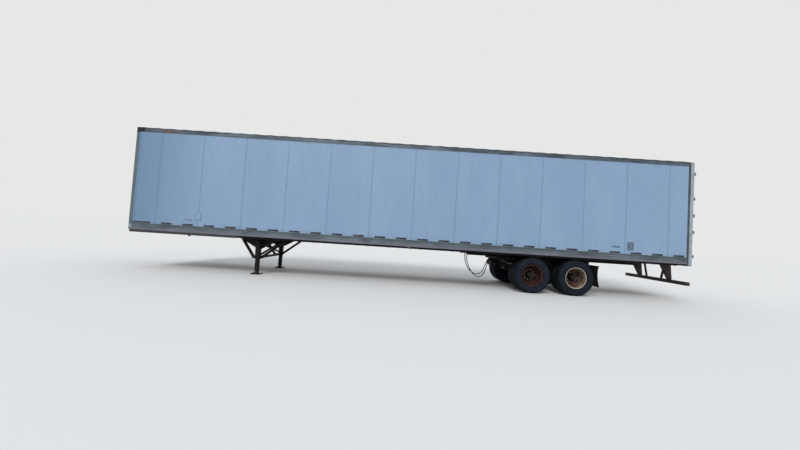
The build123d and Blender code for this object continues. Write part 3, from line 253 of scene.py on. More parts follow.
# Upper coupler and kingpin
# The welded steel frame under the nose, the flat plate that rubs on a fifth wheel, and the
# forged pin that it locks on, whose own square plate lies in the coupler plate.

def dress(material, *nodes):
    """Give CAD nodes a finish."""
    for name in nodes:
        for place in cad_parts[name].material_slots:
            place.link = "OBJECT"
            place.material = material


def turned(bm, profile, at, out, steps=48):
    """Carry an outline of (radius, height) points round the line from a point outwards."""
    old = set(bm.verts)
    points = [bm.verts.new((r, 0, h)) for r, h in profile]
    ring = points[1:] + (points[:1] if profile[0][0] else [])
    edges = [bm.edges.new(pair) for pair in zip(points, ring)]
    bmesh.ops.spin(bm, geom=points + edges, cent=(0, 0, 0), axis=(0, 0, 1), angle=2 * pi,
                   steps=steps, use_merge=True)
    bmesh.ops.remove_doubles(bm, verts=[v for v in bm.verts if v not in old], dist=1e-6)
    bmesh.ops.transform(bm, matrix=facing(at, out), verts=[v for v in bm.verts if v not in old])


def plate(bm, low, high, bevel=0.0, segments=1):
    """A box between two corners, its edges bevelled."""
    low, high = Vector(map(min, low, high)), Vector(map(max, low, high))
    made = bmesh.ops.create_cube(
        bm, size=1, matrix=Matrix.LocRotScale((low + high) / 2, None, high - low))
    if bevel:
        edges = list(dict.fromkeys(e for v in made["verts"] for e in v.link_edges))
        bmesh.ops.bevel(bm, geom=edges, offset=bevel, segments=segments, profile=0.5,
                        affect="EDGES", material=-1)


def slab(bm, middle, size, bevel=0.0, segments=1):
    """A box of a size about its middle."""
    middle, half = Vector(middle), Vector(size) / 2
    plate(bm, middle - half, middle + half, bevel, segments)


# Brushed-on black paint on rolled steel is matt and uneven, with brown where rust breaks it.
coupler_paint = surface("rusting_black_coupler_paint", "#1f2022", [
    ("#3a3a39", 160, 0.45, 0.6, 0.12, (1, 1, 2)),
    ("#4d3222", 60, 0.3, 0.7, 0.06),
], roughness=0.6, bump=0.3, bump_size=4)
# Rolled steel that is rubbed bare shines a little between smears of black grease.
greased_steel = surface("greased_steel_plate", "#3b3a37", [
    ("#1b1a18", 220, 0.6, 0.9, 0.1, (1, 2, 1)),
    ("#6a4526", 60, 0.3, 0.6, 0.06),
], roughness=0.34, metallic=0.6, rough_stains=0.3, bump=0.2, bump_size=30)
dress(coupler_paint, "coupler_frame")
dress(greased_steel, "coupler_plate")
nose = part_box("front_rails")[0][0]
pin_low, pin_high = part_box("kingpin")
pin_x, pin_plate_wide, pin_plate_thick = (pin_low.x + pin_high.x) / 2, 0.420, 0.016
bm = bmesh.new()
turned(bm, [
    (0, 0), (0.030, 0), (0.0357, 0.005), (0.0357, 0.030), (0.033, 0.033), (0.0264, 0.034),
    (0.0254, 0.037), (0.0254, 0.064), (0.0270, 0.068), (0.0357, 0.069), (0.0357, 0.094),
    (0, 0.094),
], (pin_x, 0, pin_low.z), (0, 0, 1))
slab(bm, (pin_x, 0, pin_high.z - pin_plate_thick / 2),
     (pin_plate_wide, pin_plate_wide, pin_plate_thick))
piece("kingpin_forging", bm, greased_steel, "trailer", ["kingpin"])


# Floor and crossmembers
# Steel I-beams every foot under boards of laminated oak, whose worn top shows inside. A
# thin dark strip along the beams' ends, below each rail, stands for the shaded band under
# the rail: painted shade.

# Tar brushed over rolled steel is nearly black and has no gloss, with rust coming through.
beam_steel = surface("tarred_beam_steel", "#0a0b0d", [
    ("#1a1c1f", 130, 0.45, 0.6, 0.12, (1, 0.5, 1)),
    ("#3c2a1e", 50, 0.28, 0.6, 0.06),
], roughness=0.7, bump=0.3, bump_size=5, shine=0.15)
dress(beam_steel, "crossmembers")
beams_low, beams_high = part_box("crossmembers")
shade_strip_start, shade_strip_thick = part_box("coupler_frame")[1].x, 0.004
rails_low, rails_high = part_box("bottom_rails")
bm = bmesh.new()
# A dark strip in the beams' tar under each rail, over the beams' ends: painted shade.
for sign in (-1, 1):
    plate(bm, (shade_strip_start, sign * beams_high.y, beams_low.z + shade_strip_thick),
          (beams_high.x, sign * (beams_high.y + shade_strip_thick), rails_low.z))
piece("beam_end_shade_strips", bm, beam_steel, "trailer")
# Sawn oak strips glued side by side run along the floor in long streaks of brown, greyed
# and worn smooth where goods have been dragged.
floor_oak = surface("worn_laminated_oak", "#8a6a48", [
    ("#6d5136", 34, 0.5, 0.6, 0.2, (0.05, 1, 1)),
    ("#a08058", 9, 0.45, 0.4, 0.2, (0.02, 1, 1)),
    ("#3f3427", 400, 0.35, 0.5, 0.14, (0.4, 1, 1)),
], roughness=0.55, bump=0.4, bump_size=6)
dress(floor_oak, "floor_boards")


# Side walls
# Aluminium-faced plates, 4 ft wide and painted before they were cut, butt at joints that
# are sealed with a bead between two rows of rivets. Two more rows run up each plate.

def rivet(bm, at, out, radius=0.006, proud=0.0025, top=0.0035, sides=8):
    """A low head that narrows to its top, standing out from a face."""
    bar(bm, at, Vector(at) + Vector(out) * proud, radius, sides, top)


# Old white coil paint is chalky and smooth on slightly wavy sheet. Its colour is painted
# shade: the blue-grey that the sky's shade gives it, darker still towards the nose, with
# faint upright streaks and a grey film along its top and foot.
wall_paint_in_shade = surface("chalky_white_paint_in_painted_shade", "#7a95b3", [
    ("#738eac", 1100, 0.5, 0.6, 0.24, (1, 1, 0.3)),
    ("#859fbb", 800, 0.4, 0.5, 0.24, (1, 1, 0.4)),
    ("#71889f", 90, 0.3, 0.28, 0.16, (1, 1, 0.2)),
    ("#5f7184", 14, 0.16, 0.35, 0.1, (1, 1, 0.5)),
    # Painted shade: a broad darkening of the wall towards the nose.
    ("#5d7a97", 3000, 1.0, 0.85, 0.2, (1, 1, 1), ("X", nose - 3, nose + 1.2, 1.3)),
    ("#71859a", 240, 0.55, 0.45, 0.1, (1, 1, 1), ("Z", 1.2, 1.36, 0.08)),
    ("#6d8095", 160, 0.5, 0.35, 0.1, (1, 1, 1), ("Z", 3.84, 4.0, 0.06)),
], roughness=0.42, rough_stains=0.15, bump=1.5, bump_size=450)
dress(wall_paint_in_shade, "side_panels_left", "side_panels_right", "front_panels")
# Cured sealant is matt and gathers dirt, so a joint is one thin dark line.
joint_seal = surface("dark_joint_seal", "#56708b", [
    ("#43586d", 60, 0.5, 0.6, 0.1, (1, 1, 0.3)),
], roughness=0.7)
# Paint on driven rivets is dull and darker than the wall, so that each head is a small dark dot.
rivet_metal = surface("painted_rivets", "#465a6f", [
    ("#2f3d4b", 30, 0.4, 0.6, 0.1),
], roughness=0.45)

left_right = (("left", -1), ("right", 1))
panel_face = -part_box("side_panels_left")[0].y
wall_low, wall_high = rails_high.z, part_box("top_rails")[0].z
panel_wide, rivet_pitch = 1.2192, 0.1016
panel_joints = [nose + 0.770 + n * panel_wide for n in range(13)]
rivet_rows = (-panel_wide / 3, -0.028, 0.028, panel_wide / 3)
seal_half, corner_seal_half, seal_proud = 0.004, 0.006, 0.0012
for side, sign in left_right:
    seals, rivets = bmesh.new(), bmesh.new()
    for x, half in [*((x, seal_half) for x in panel_joints), (nose + 0.165, corner_seal_half)]:
        plate(seals, (x - half, sign * panel_face, wall_low),
              (x + half, sign * (panel_face + seal_proud), wall_high))
    for x in panel_joints:
        for row in rivet_rows:
            for k in range(int((wall_high - wall_low) / rivet_pitch)):
                at = (x + row, sign * panel_face, wall_low + rivet_pitch * (k + 0.4))
                rivet(rivets, at, (0, sign, 0), 0.0062, sides=6)
    piece(f"panel_seals_{side}", seals, joint_seal, "trailer")
    piece(f"panel_rivets_{side}", rivets, rivet_metal, "trailer")


# Reflective strips
# Retroreflective tape along the foot of each wall, a foot long at a pitch of 2 ft, half
# silver and half red. The first strip starts nearer the corner, so its silver is longer.

# Glass-beaded film: its silver is painted shade, a dark and dull blue-grey.
tape_silver = surface("silver_tape_in_painted_shade", "#26323d", [
    ("#3a4b5b", 30, 0.4, 0.6, 0.1),
], roughness=0.3)
# The red half is painted as dark with shade, so that only its hue tells it from the silver.
tape_red = surface("red_tape_in_painted_shade", "#1f0c0f", [
    ("#34151a", 30, 0.4, 0.6, 0.1),
], roughness=0.3)
strip_low, strip_high, tape_thick = 1.295, 1.345, 0.0008
strip_half, strip_pitch, strip_count = 0.1525, 0.6096, 26
strip_start, first_strip = nose + 0.410, nose + 0.130
for side, sign in left_right:
    for colour, material, shift in (
        ("silver", tape_silver, 0), ("red", tape_red, strip_half),
    ):
        bm = bmesh.new()
        for n in range(strip_count):
            x = strip_start + n * strip_pitch + shift - strip_half / 2
            start = first_strip if n == 0 and colour == "silver" else x
            plate(bm, (start, sign * panel_face, strip_low),
                  (x + strip_half, sign * (panel_face + tape_thick), strip_high))
        piece(f"strips_{colour}_{side}", bm, material, "trailer")


# Document box and blank plates
# A flat steel box for papers near the nose, painted with the wall and bedded in a gasket,
# the outline of one that is gone, and three blank plates held by small rivets.

box_start, box_end, box_low, box_high, gasket = 1.925, 2.070, 1.470, 1.670, 0.012
bm = bmesh.new()
plate(bm, (nose + box_start, -panel_face, box_low),
      (nose + box_end, -panel_face - 0.0042, box_high), 0.002, 2)
plate(bm, (nose + box_start + 0.010, -panel_face - 0.003, 1.620),
      (nose + box_end - 0.010, -panel_face - 0.0054, 1.655), 0.001)
box_middle = nose + (box_start + box_end) / 2
bar(bm, (box_middle, -panel_face - 0.004, 1.60), (box_middle, -panel_face - 0.0058, 1.60),
    0.007, 12)
piece("document_box", bm, wall_paint_in_shade, "trailer")
bm = bmesh.new()
for x0, x1, z0, z1 in (
    (box_start - gasket, box_start, box_low - gasket, box_high + gasket),
    (box_end, box_end + gasket, box_low - gasket, box_high + gasket),
    (box_start, box_end, box_low - gasket, box_low),
    (box_start, box_end, box_high, box_high + gasket),
    (0.190, 0.197, 1.350, 1.570), (0.383, 0.390, 1.350, 1.570), (0.190, 0.390, 1.563, 1.570),
):
    plate(bm, (nose + x0, -panel_face, z0), (nose + x1, -panel_face - seal_proud, z1))
piece("box_gaskets", bm, joint_seal, "trailer")
# Painted aluminium that the sun has bleached is a mottled grey-blue, faintly shiny.
dark_plate = surface("faded_blank_plate", "#5f7286", [
    ("#39444f", 40, 0.5, 0.8, 0.06),
    ("#93a3b1", 30, 0.25, 0.6, 0.06),
], roughness=0.4)
bm = bmesh.new()
for x0, x1, z0, z1 in (
    (1.63, 1.83, 1.448, 1.470), (13.82, 14.05, 1.45, 1.50), (14.24, 14.43, 1.39, 1.63),
):
    plate(bm, (nose + x0, -panel_face, z0), (nose + x1, -panel_face - 0.002, z1), 0.0008)
    for x in (x0 + 0.012, x1 - 0.012):
        for z in (z0 + 0.010, z1 - 0.010):
            rivet(bm, (nose + x, -panel_face, z), (0, -1, 0), 0.004, 0.004, 0.0025)
piece("blank_plates", bm, dark_plate, "trailer")


# Side rails
# Extruded aluminium along the floor and the roof, grooved along its length, with a row of
# rivets in two of the grooves.

# Mill-finish extrusion weathers to a dull grey, streaked along its length, with a lighter
# band at its foot and a darker one at its top.
rail_metal = surface("weathered_extruded_aluminium", "#4f5b62", [
    ("#6e7b84", 240, 0.5, 0.7, 0.14, (0.3, 1, 1)),
    ("#353c41", 120, 0.4, 0.6, 0.12, (0.25, 1, 1)),
    ("#4d4a44", 60, 0.22, 0.5, 0.08, (0.6, 1, 1)),
    ("#756e7c", 600, 0.8, 0.55, 0.2, (0.3, 1, 1), ("Z", 1.10, 1.165, 0.008)),
    ("#39423f", 600, 0.8, 0.5, 0.2, (0.3, 1, 1), ("Z", 1.235, 1.30, 0.008)),
], roughness=0.48, metallic=0.35)
dress(rail_metal, "bottom_rails", "front_rails")
# The roof rail is darker, black at the corner's cap, with a rust stain near the nose.
top_rail_metal = surface("weathered_top_rail", "#46525c", [
    ("#6c7984", 260, 0.45, 0.6, 0.14, (0.3, 1, 1)),
    ("#272e33", 150, 0.42, 0.7, 0.12, (0.3, 1, 1)),
    ("#5f4630", 240, 0.6, 0.8, 0.1, (1, 1, 1), ("X", nose + 0.75, nose + 1.25, 0.12)),
    ("#272c2f", 200, 0.62, 0.6, 0.1, (1, 1, 1), ("Z", 4.0, 4.06, 0.012)),
    ("#15171a", 3000, 1.0, 1.0, 0.2, (1, 1, 1), ("X", nose - 1, nose + 0.26, 0.004)),
], roughness=0.46, metallic=0.35)
dress(top_rail_metal, "top_rails")
groove_rows, groove_depth, groove_pitch = (1.133, 1.247), 0.003, 0.2032
groove_face = -rails_low.y - groove_depth
for side, sign in left_right:
    bm = bmesh.new()
    for z in groove_rows:
        for n in range(int((rails_high.x - rails_low.x) / groove_pitch)):
            at = (rails_low.x + groove_pitch * (n + 0.5), sign * groove_face, z)
            rivet(bm, at, (0, sign, 0), 0.0055, 0.0026)
    piece(f"rail_rivets_{side}", bm, rivet_metal, "trailer")


# Roof
# One wide aluminium sheet over bevelled bows, which shows a bow's edge every 16 inches. The
# bows, like the posts of the walls, are folded from galvanised sheet.

# Bare rolled aluminium that has oxidised is pale and dull, with darker pools of dirt.
roof_metal = surface("dull_roof_aluminium", "#98a0a6", [
    ("#848c93", 900, 0.5, 0.5, 0.2),
    ("#6b7175", 400, 0.35, 0.35, 0.16, (0.6, 1, 1)),
], roughness=0.5, metallic=0.5)
dress(roof_metal, "roof_sheet")
# Hot-dipped zinc shows its spangle as small pale patches on a cool grey.
galvanised = surface("galvanised_sheet_steel", "#8b9094", [
    ("#a2a7aa", 22, 0.5, 0.5, 0.05),
    ("#6c7073", 60, 0.3, 0.5, 0.1),
], roughness=0.42, metallic=0.7)
dress(galvanised, "roof_bows", "side_posts_left", "side_posts_right", "front_posts")


# Inside
# A galvanised scuff plate along the foot of each wall, riveted to the posts, which pallets
# scrape, and two sheets of plywood over the posts of the front wall.

posts_low, posts_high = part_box("side_posts_left")
floor_top, post_face, front_face = posts_low.z, -posts_high.y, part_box("front_posts")[1].x
for side, sign in left_right:
    bm = bmesh.new()
    plate(bm, (front_face + 0.02, sign * post_face, floor_top),
          (rails_high.x - 0.01, sign * (post_face - 0.0015), floor_top + 0.305))
    for x in panel_joints:
        for up in (0.03, 0.15, 0.27):
            rivet(bm, (x, sign * (post_face - 0.001), floor_top + up), (0, -sign, 0),
                  proud=0.003, top=0.003)
    piece(f"scuff_plate_{side}", bm, galvanised, "trailer")
# Rotary-cut veneer has upright grain in two browns, with dark scuffs from loads.
plywood = surface("scuffed_plywood", "#9c7c54", [
    ("#7d6140", 60, 0.5, 0.5, 0.2, (1, 1, 0.05)),
    ("#52402c", 300, 0.3, 0.5, 0.14),
], roughness=0.6, bump=0.3, bump_size=5)
bm = bmesh.new()
for y0, y1 in ((-1.20, -0.002), (0.002, 1.20)):
    plate(bm, (front_face, y0, floor_top), (front_face + 0.009, y1, floor_top + 1.22), 0.001)
piece("front_lining", bm, plywood, "trailer")


# Nose
# Extruded corner posts with a black plastic cap at the top and a bolted bracket low down,
# and the two air couplings and the electric socket between them.

def hoop(bm, inner, outer, low, high, at, out, steps=24):
    """A flat hoop, or a disc where its inner radius is 0, round the line from a point."""
    turned(bm, [(inner, low), (outer, low), (outer, high), (inner, high)], at, out, steps)


# Brushed aluminium has faint upright streaks and a soft gleam, brighter at the bracket.
corner_metal = surface("brushed_corner_aluminium", "#5b6a6d", [
    ("#4c5a5a", 180, 0.5, 0.6, 0.14, (1, 1, 0.2)),
    ("#353b38", 60, 0.25, 0.5, 0.1, (1, 1, 0.3)),
    ("#8d9a9a", 400, 0.9, 0.8, 0.2, (1, 1, 1), ("Z", 1.145, 1.25, 0.006)),
    ("#15171a", 3000, 1.0, 1.0, 0.2, (1, 1, 1), ("Z", 3.89, 4.2, 0.004)),
], roughness=0.42, metallic=0.3)
dress(corner_metal, "front_corners")
# Sand-cast aluminium is grey and grainy, with dirt in its hollows.
cast_metal = surface("cast_coupling_aluminium", "#7f8184", [
    ("#55585b", 26, 0.5, 0.6, 0.1),
], roughness=0.45, metallic=0.8, bump=0.2, bump_size=3)
# Moulded plastic that the sun has bleached is a soft black, chalked grey in patches.
black_plastic = surface("weathered_black_plastic", "#1d1f22", [
    ("#43474b", 70, 0.4, 0.5, 0.14),
], roughness=0.55, bump=0.2, bump_size=4)
tip, couple_z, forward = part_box("gladhands")[0].x, 1.24, (-1, 0, 0)
castings, rubbers = bmesh.new(), bmesh.new()
for y in (-0.42, 0.42):
    turned(castings, [
        (0, 0.02), (0.031, 0.02), (0.032, 0.0), (0.032, -0.022), (0.026, -0.030),
        (0.016, -0.034), (0.013, -0.052), (0, -0.052),
    ], (tip + 0.021, y, couple_z), forward, 32)
    hoop(castings, 0, 0.030, 0, 0.006, (nose, y, couple_z), forward, 6)
    slab(castings, (tip + 0.017, y, couple_z - 0.041), (0.010, 0.020, 0.042), 0.003, 2)
    hoop(rubbers, 0.011, 0.022, 0, 0.0015, (tip + 0.0016, y, couple_z), forward)
plate(castings, (tip + 0.014, -0.032, couple_z - 0.034), (nose, 0.032, couple_z + 0.034),
      0.006, 2)
slab(castings, (tip + 0.006, 0, couple_z + 0.005), (0.012, 0.072, 0.070), 0.004, 2)
piece("nose_couplings", castings, cast_metal, "trailer", ["gladhands"])
piece("coupling_seals", rubbers, black_plastic, "trailer")
bm = bmesh.new()
for z in (1.15, 1.24):
    for n in range(-3, 4):
        rivet(bm, (nose, n * 0.3048 + 0.15, z), forward)
front_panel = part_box("front_panels")[0].x
for y in [edge * (0.030 + n * 0.390) for edge in (-1, 1) for n in range(3)]:
    for k in range(25):
        rivet(bm, (front_panel, y, 1.36 + k * rivet_pitch), forward)
piece("nose_rivets", bm, rivet_metal, "trailer")


# Landing legs
# Square telescoping legs with gear boxes, hung from tapered wing plates and braced with
# angle bars. Rims and hinge lugs stiffen the pressed feet.

def bolt(bm, at, out, across):
    """A hexagon head on a washer, standing out from a face."""
    at, out = Vector(at), Vector(out)
    bar(bm, at, at + out * across * 0.12, across * 0.78, 16)
    bar(bm, at + out * across * 0.12, at + out * across * 0.62, across * 0.577, 6)


# Thick black paint on tube and plate is matt under grey dust, and rusty at the feet.
leg_paint = surface("dusty_black_leg_paint", "#07080a", [
    ("#131518", 120, 0.45, 0.6, 0.14, (1, 1, 0.6)),
    ("#24231f", 40, 0.2, 0.4, 0.1),
    ("#3d2819", 30, 0.18, 0.7, 0.05),
    ("#4a3a2c", 60, 0.6, 0.7, 0.1, (1, 1, 1), ("Z", -0.02, 0.05, 0.02)),
], roughness=0.6, bump=0.25, bump_size=5, shine=0.2)
dress(leg_paint, "landing_legs", "landing_feet", "leg_wings", "leg_braces", "leg_gears")
# Zinc-plated bolts keep some grey shine between brown and black stains.
worn_steel = surface("worn_plated_steel", "#6b6d70", [
    ("#4a3729", 16, 0.45, 0.7, 0.08),
    ("#2b2c2e", 30, 0.4, 0.7, 0.1),
], roughness=0.42, metallic=0.7, rough_stains=0.3)
leg_x, leg_y, wing_y, cover_y = nose + 3.600, 0.895, 0.8235, 1.0185
foot_wide, rim_high, rim_thick, lug_z, bolt_size = 0.250, 0.032, 0.008, 0.070, 0.022
rims, bolts = bmesh.new(), bmesh.new()
for sign in (-1, 1):
    y, outward, inward = sign * leg_y, (0, sign, 0), (0, -sign, 0)
    for edge in (-1, 1):
        rim_x = leg_x + edge * (foot_wide - rim_thick) / 2
        slab(rims, (rim_x, y, rim_high / 2), (rim_thick, foot_wide, rim_high), 0.002)
        slab(rims, (leg_x, y + edge * 0.055, 0.0585), (0.090, rim_thick, 0.093), 0.002)
    bar(bolts, (leg_x, y - 0.072, lug_z), (leg_x, y + 0.072, lug_z), 0.013)
    bolt(bolts, (leg_x, y + sign * 0.059, lug_z), outward, 0.036)
    slab(rims, (leg_x, y, 0.460), (0.140, 0.140, 0.020), 0.003)
    plate(rims, (leg_x - 0.068, sign * cover_y, 0.802),
          (leg_x + 0.068, sign * (cover_y + 0.004), 0.958), 0.002)
    for dx in (-0.055, 0, 0.055):
        for z in (0.815, 0.945):
            bolt(bolts, (leg_x + dx, sign * (cover_y + 0.004), z), outward, 0.013)
    turned(rims, [(0, 0), (0.030, 0), (0.030, 0.012), (0.022, 0.020), (0, 0.020)],
           (leg_x, sign * (cover_y + 0.003), 0.880), outward, 32)
    for dx in (-0.42, -0.25, 0.25, 0.42):
        bolt(bolts, (leg_x + dx, sign * wing_y, 1.010), inward, bolt_size)
    for z in (0.775, 0.860, 0.960):
        for dx in (-0.04, 0.04):
            bolt(bolts, (leg_x + dx, sign * wing_y, z), inward, bolt_size)
piece("foot_rims_and_covers", rims, leg_paint, "trailer")
piece("leg_bolts", bolts, worn_steel, "trailer")


# Body rails and slider
# Channels welded under the crossmembers, with the row of holes that the slider's pins lock
# in, drawn as black discs of painted shade, and the pressed steel slider with its hangers,
# its pins and the rod that pulls them.

def bend(bm, points, radius, sides=10):
    """A round bar bent through points."""
    for start, end in zip(points, points[1:]):
        bar(bm, start, end, radius, sides)
    for point in points[1:-1]:
        bmesh.ops.create_uvsphere(bm, u_segments=sides, v_segments=6, radius=radius * 1.01,
                                  matrix=Matrix.Translation(point))


# Black chassis paint on pressed steel is dulled by road dust, and rust spots its edges.
chassis_paint = surface("dusty_black_chassis_paint", "#090a0c", [
    ("#181a1c", 150, 0.5, 0.6, 0.14),
    ("#2e2b28", 50, 0.22, 0.4, 0.1),
    ("#452b1a", 36, 0.24, 0.75, 0.05),
], roughness=0.65, bump=0.3, bump_size=5, shine=0.2)
dress(chassis_paint, "body_rails", "slider_frame", "flap_hangers", "equalizers", "radius_rods")
# The pin holes are not cut: each is a thin black disc on the web, painted shade.
hole_shade_paint = surface("painted_shade_of_pin_hole", "#040405", [
    ("#0a0a0a", 20, 0.5, 0.6, 0.1),
], roughness=0.95)
body_rail_start, body_rail_end = (corner.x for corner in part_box("body_rails"))
rail_web, hole_pitch, hole_z, hole_radius = 0.515, 0.1524, 0.995, 0.0165
holes, collars = bmesh.new(), bmesh.new()
for sign in (-1, 1):
    for n in range(int((body_rail_end - body_rail_start - 0.2) / hole_pitch)):
        at = (body_rail_start + 0.15 + n * hole_pitch, sign * rail_web, hole_z)
        bar(holes, at, (at[0], sign * (rail_web + 0.0008), hole_z), hole_radius, 20)
        turned(collars, [(hole_radius, 0), (0.023, 0), (0.022, 0.003), (hole_radius, 0.003)],
               at, (0, sign, 0), 20)
piece("pin_hole_shade_discs", holes, hole_shade_paint, "trailer")
piece("pin_hole_collars", collars, chassis_paint, "trailer")

bogie_x, axle_gap = (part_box("axles")[0].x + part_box("axles")[1].x) / 2, 1.245
slider_foot, rail_in, rail_out, lock_z = 0.848, 0.507, 0.583, 0.906
hangers = (bogie_x - axle_gap, bogie_x, bogie_x + axle_gap)
pivots = (0.628, 0.628, 0.690)
welds, bolts = bmesh.new(), bmesh.new()
for sign in (-1, 1):
    outward = (0, sign, 0)
    for x, pivot in zip(hangers, pivots):
        for face, out in ((rail_out, 1), (rail_in, -1)):
            bolt(bolts, (x, sign * face, pivot), (0, sign * out, 0), 0.046)
            for dx in (-0.09, 0.09):
                slab(welds, (x + dx, sign * (face + out * 0.003), slider_foot - 0.001),
                     (0.060, 0.006, 0.010), 0.002)
        if x == bogie_x:
            bolt(bolts, (x, sign * rail_out, 0.755), outward, 0.052)
            bolt(bolts, (x, sign * rail_in, 0.755), (0, -sign, 0), 0.052)
    for x in (bogie_x - 0.95, bogie_x + 0.95):
        slab(welds, (x, sign * (rail_out + 0.004), lock_z), (0.110, 0.008, 0.068), 0.003)
        turned(bolts, [
            (0, 0), (0.016, 0), (0.018, 0.004), (0.018, 0.050), (0.014, 0.056), (0, 0.056),
        ], (x, sign * (rail_out + 0.006), lock_z), outward, 24)
        for k in range(6):
            coil = (x, sign * (rail_out + 0.010 + k * 0.0075), lock_z)
            hoop(bolts, 0.0185, 0.0225, 0, 0.003, coil, outward, 20)
piece("hanger_welds", welds, chassis_paint, "bogie")
piece("hanger_bolts_and_lock_pins", bolts, worn_steel, "bogie")
pull_x, pull_z = hangers[0] - 0.005, 0.800
bm = bmesh.new()
bend(bm, [(pull_x + dx, y, pull_z) for dx, y in (
    (0, -0.40), (0, -1.16), (-0.035, -1.20), (-0.035, -1.23), (0.035, -1.23), (0.035, -1.20),
    (0, -1.165),
)], 0.008)
plate(bm, (pull_x - 0.020, -rail_out, pull_z + 0.012), (pull_x + 0.020, -1.08, pull_z + 0.020),
      0.002)
slab(bm, (pull_x, -1.076, pull_z + 0.001), (0.040, 0.008, 0.038), 0.002)
plate(bm, (pull_x - 0.030, -rail_out, pull_z + 0.005),
      (pull_x + 0.030, -rail_out - 0.006, slider_foot + 0.02), 0.002)
piece("pin_pull_rod", bm, worn_steel, "bogie")


# Springs, clamps and axles
# Packs of leaves that slide in the hangers, each clamped to its forged round axle by two
# U-bolts, whose nuts stand on a top plate. Clips hold the leaves in line.

# Scale from the forge is nearly black and flaky, with brown rust along the leaves.
scaly_steel = surface("scaly_spring_steel", "#1a1817", [
    ("#452c1b", 34, 0.45, 0.7, 0.08, (0.4, 1, 1)),
    ("#4c463e", 20, 0.2, 0.4, 0.08),
], roughness=0.6, metallic=0.2, bump=0.5, bump_size=6)
dress(scaly_steel, "leaf_springs", "axles")
axle_z, axles = 0.508, {"front": bogie_x - axle_gap / 2, "rear": bogie_x + axle_gap / 2}
spring_y, clamp_top, clamp_half, bolt_radius = 0.545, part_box("spring_clamps")[1].z, 0.0775, 0.008
bm = bmesh.new()
for x in axles.values():
    for middle in (-spring_y, spring_y):
        slab(bm, (x, middle, clamp_top - 0.007), (0.183, 0.108, 0.014), 0.003, 2)
        for y in (middle - 0.040, middle + 0.040):
            section = bmesh.ops.create_circle(
                bm, segments=12, radius=bolt_radius,
                matrix=Matrix.Translation((x - clamp_half, y, axle_z)))["verts"]
            ring = list(dict.fromkeys(e for v in section for e in v.link_edges))
            bmesh.ops.spin(bm, geom=section + ring, cent=(x, y, axle_z), axis=(0, -1, 0),
                           angle=pi, steps=16)
            for at in (x - clamp_half, x + clamp_half):
                for low, high, radius, sides in (
                    (axle_z - 0.001, clamp_top + 0.034, bolt_radius, 12),
                    (clamp_top, clamp_top + 0.003, 0.0165, 16),
                    (clamp_top + 0.003, clamp_top + 0.019, 0.0138, 6),
                ):
                    bar(bm, (at, y, low), (at, y, high), radius, sides)
        bar(bm, (x, middle, 0.640), (x, middle, clamp_top + 0.008), 0.012, 12)
        for at in (x - 0.205, x + 0.205):
            for y in (middle - 0.0285, middle + 0.0285):
                slab(bm, (at, y, 0.642), (0.032, 0.005, 0.060), 0.001)
bmesh.ops.holes_fill(bm, edges=[e for e in bm.edges if e.is_boundary])
piece("u_bolts_and_plates", bm, scaly_steel, "bogie", ["spring_clamps"])


# Brakes
# Pressed steel double chambers held by clamp bands, each pushing a slack adjuster on the
# cam tube that runs into the drum.

# Black paint on the pressings has picked up oily grime and rust, and its grain shows.
brake_paint = surface("grimy_brake_paint", "#191a1c", [
    ("#35332f", 60, 0.45, 0.6, 0.1),
    ("#4b3120", 26, 0.3, 0.7, 0.06),
], roughness=0.6, bump=0.4, bump_size=5)
chamber_profile = [
    (0, -0.080), (0.038, -0.080), (0.060, -0.074), (0.074, -0.060), (0.078, -0.046),
    (0.080, -0.034), (0.080, -0.022), (0.072, -0.018), (0.072, -0.004), (0.080, 0.0),
    (0.080, 0.014), (0.074, 0.020), (0.073, 0.050), (0.066, 0.068), (0.050, 0.078),
    (0.030, 0.080), (0.016, 0.080), (0, 0.080),
]
chamber_y, chamber_z, cam_z, cam_y = 0.380, 0.558, 0.452, 0.411
chambers, bands = bmesh.new(), bmesh.new()
for x in axles.values():
    for sign in (-1, 1):
        y, outward = sign * chamber_y, (0, sign, 0)
        turned(chambers, chamber_profile, (x + 0.190, y, chamber_z), forward, 40)
        for at in (x + 0.218, x + 0.183):
            hoop(bands, 0.078, 0.0835, -0.006, 0.006, (at, y, chamber_z), forward, 40)
            slab(bands, (at, y, chamber_z + 0.089), (0.020, 0.028, 0.018), 0.002)
            bar(bands, (at, y - 0.024, chamber_z + 0.090), (at, y + 0.024, chamber_z + 0.090),
                0.005, 10)
        slab(chambers, (x + 0.087, y, 0.5375), (0.050, 0.024, 0.075), 0.003)
        slab(chambers, (x + 0.1065, y, 0.560), (0.011, 0.100, 0.090), 0.003)
        for v in (-0.036, 0.036):
            bolt(bands, (x + 0.101, y + v, chamber_z), forward, 0.019)
        bar(bands, (x + 0.101, y, 0.530), (x + 0.080, y + sign * 0.02, 0.500), 0.007, 12)
        cam_x = x + 0.130
        bar(chambers, (cam_x, sign * 0.405, cam_z), (cam_x, sign * 0.760, cam_z), 0.018, 24)
        turned(chambers, [
            (0, 0), (0.030, 0), (0.034, 0.006), (0.034, 0.026), (0.030, 0.032), (0, 0.032),
        ], (cam_x, sign * 0.395, cam_z), outward, 28)
        bar(chambers, (cam_x, sign * cam_y, cam_z),
            (cam_x - 0.035, sign * cam_y, cam_z + 0.060), 0.014, 16, 0.011)
        slab(chambers, (x + 0.076, sign * 0.636, cam_z), (0.112, 0.018, 0.036), 0.003)
piece("brake_chambers_and_cams", chambers, brake_paint, "bogie",
      ["brake_chambers"])
piece("brake_clamps", bands, worn_steel, "bogie")


# Air tank
# A welded steel reservoir with pressed heads, hung from the slider by two straps, with a
# drain valve below. It has the chassis's black paint.

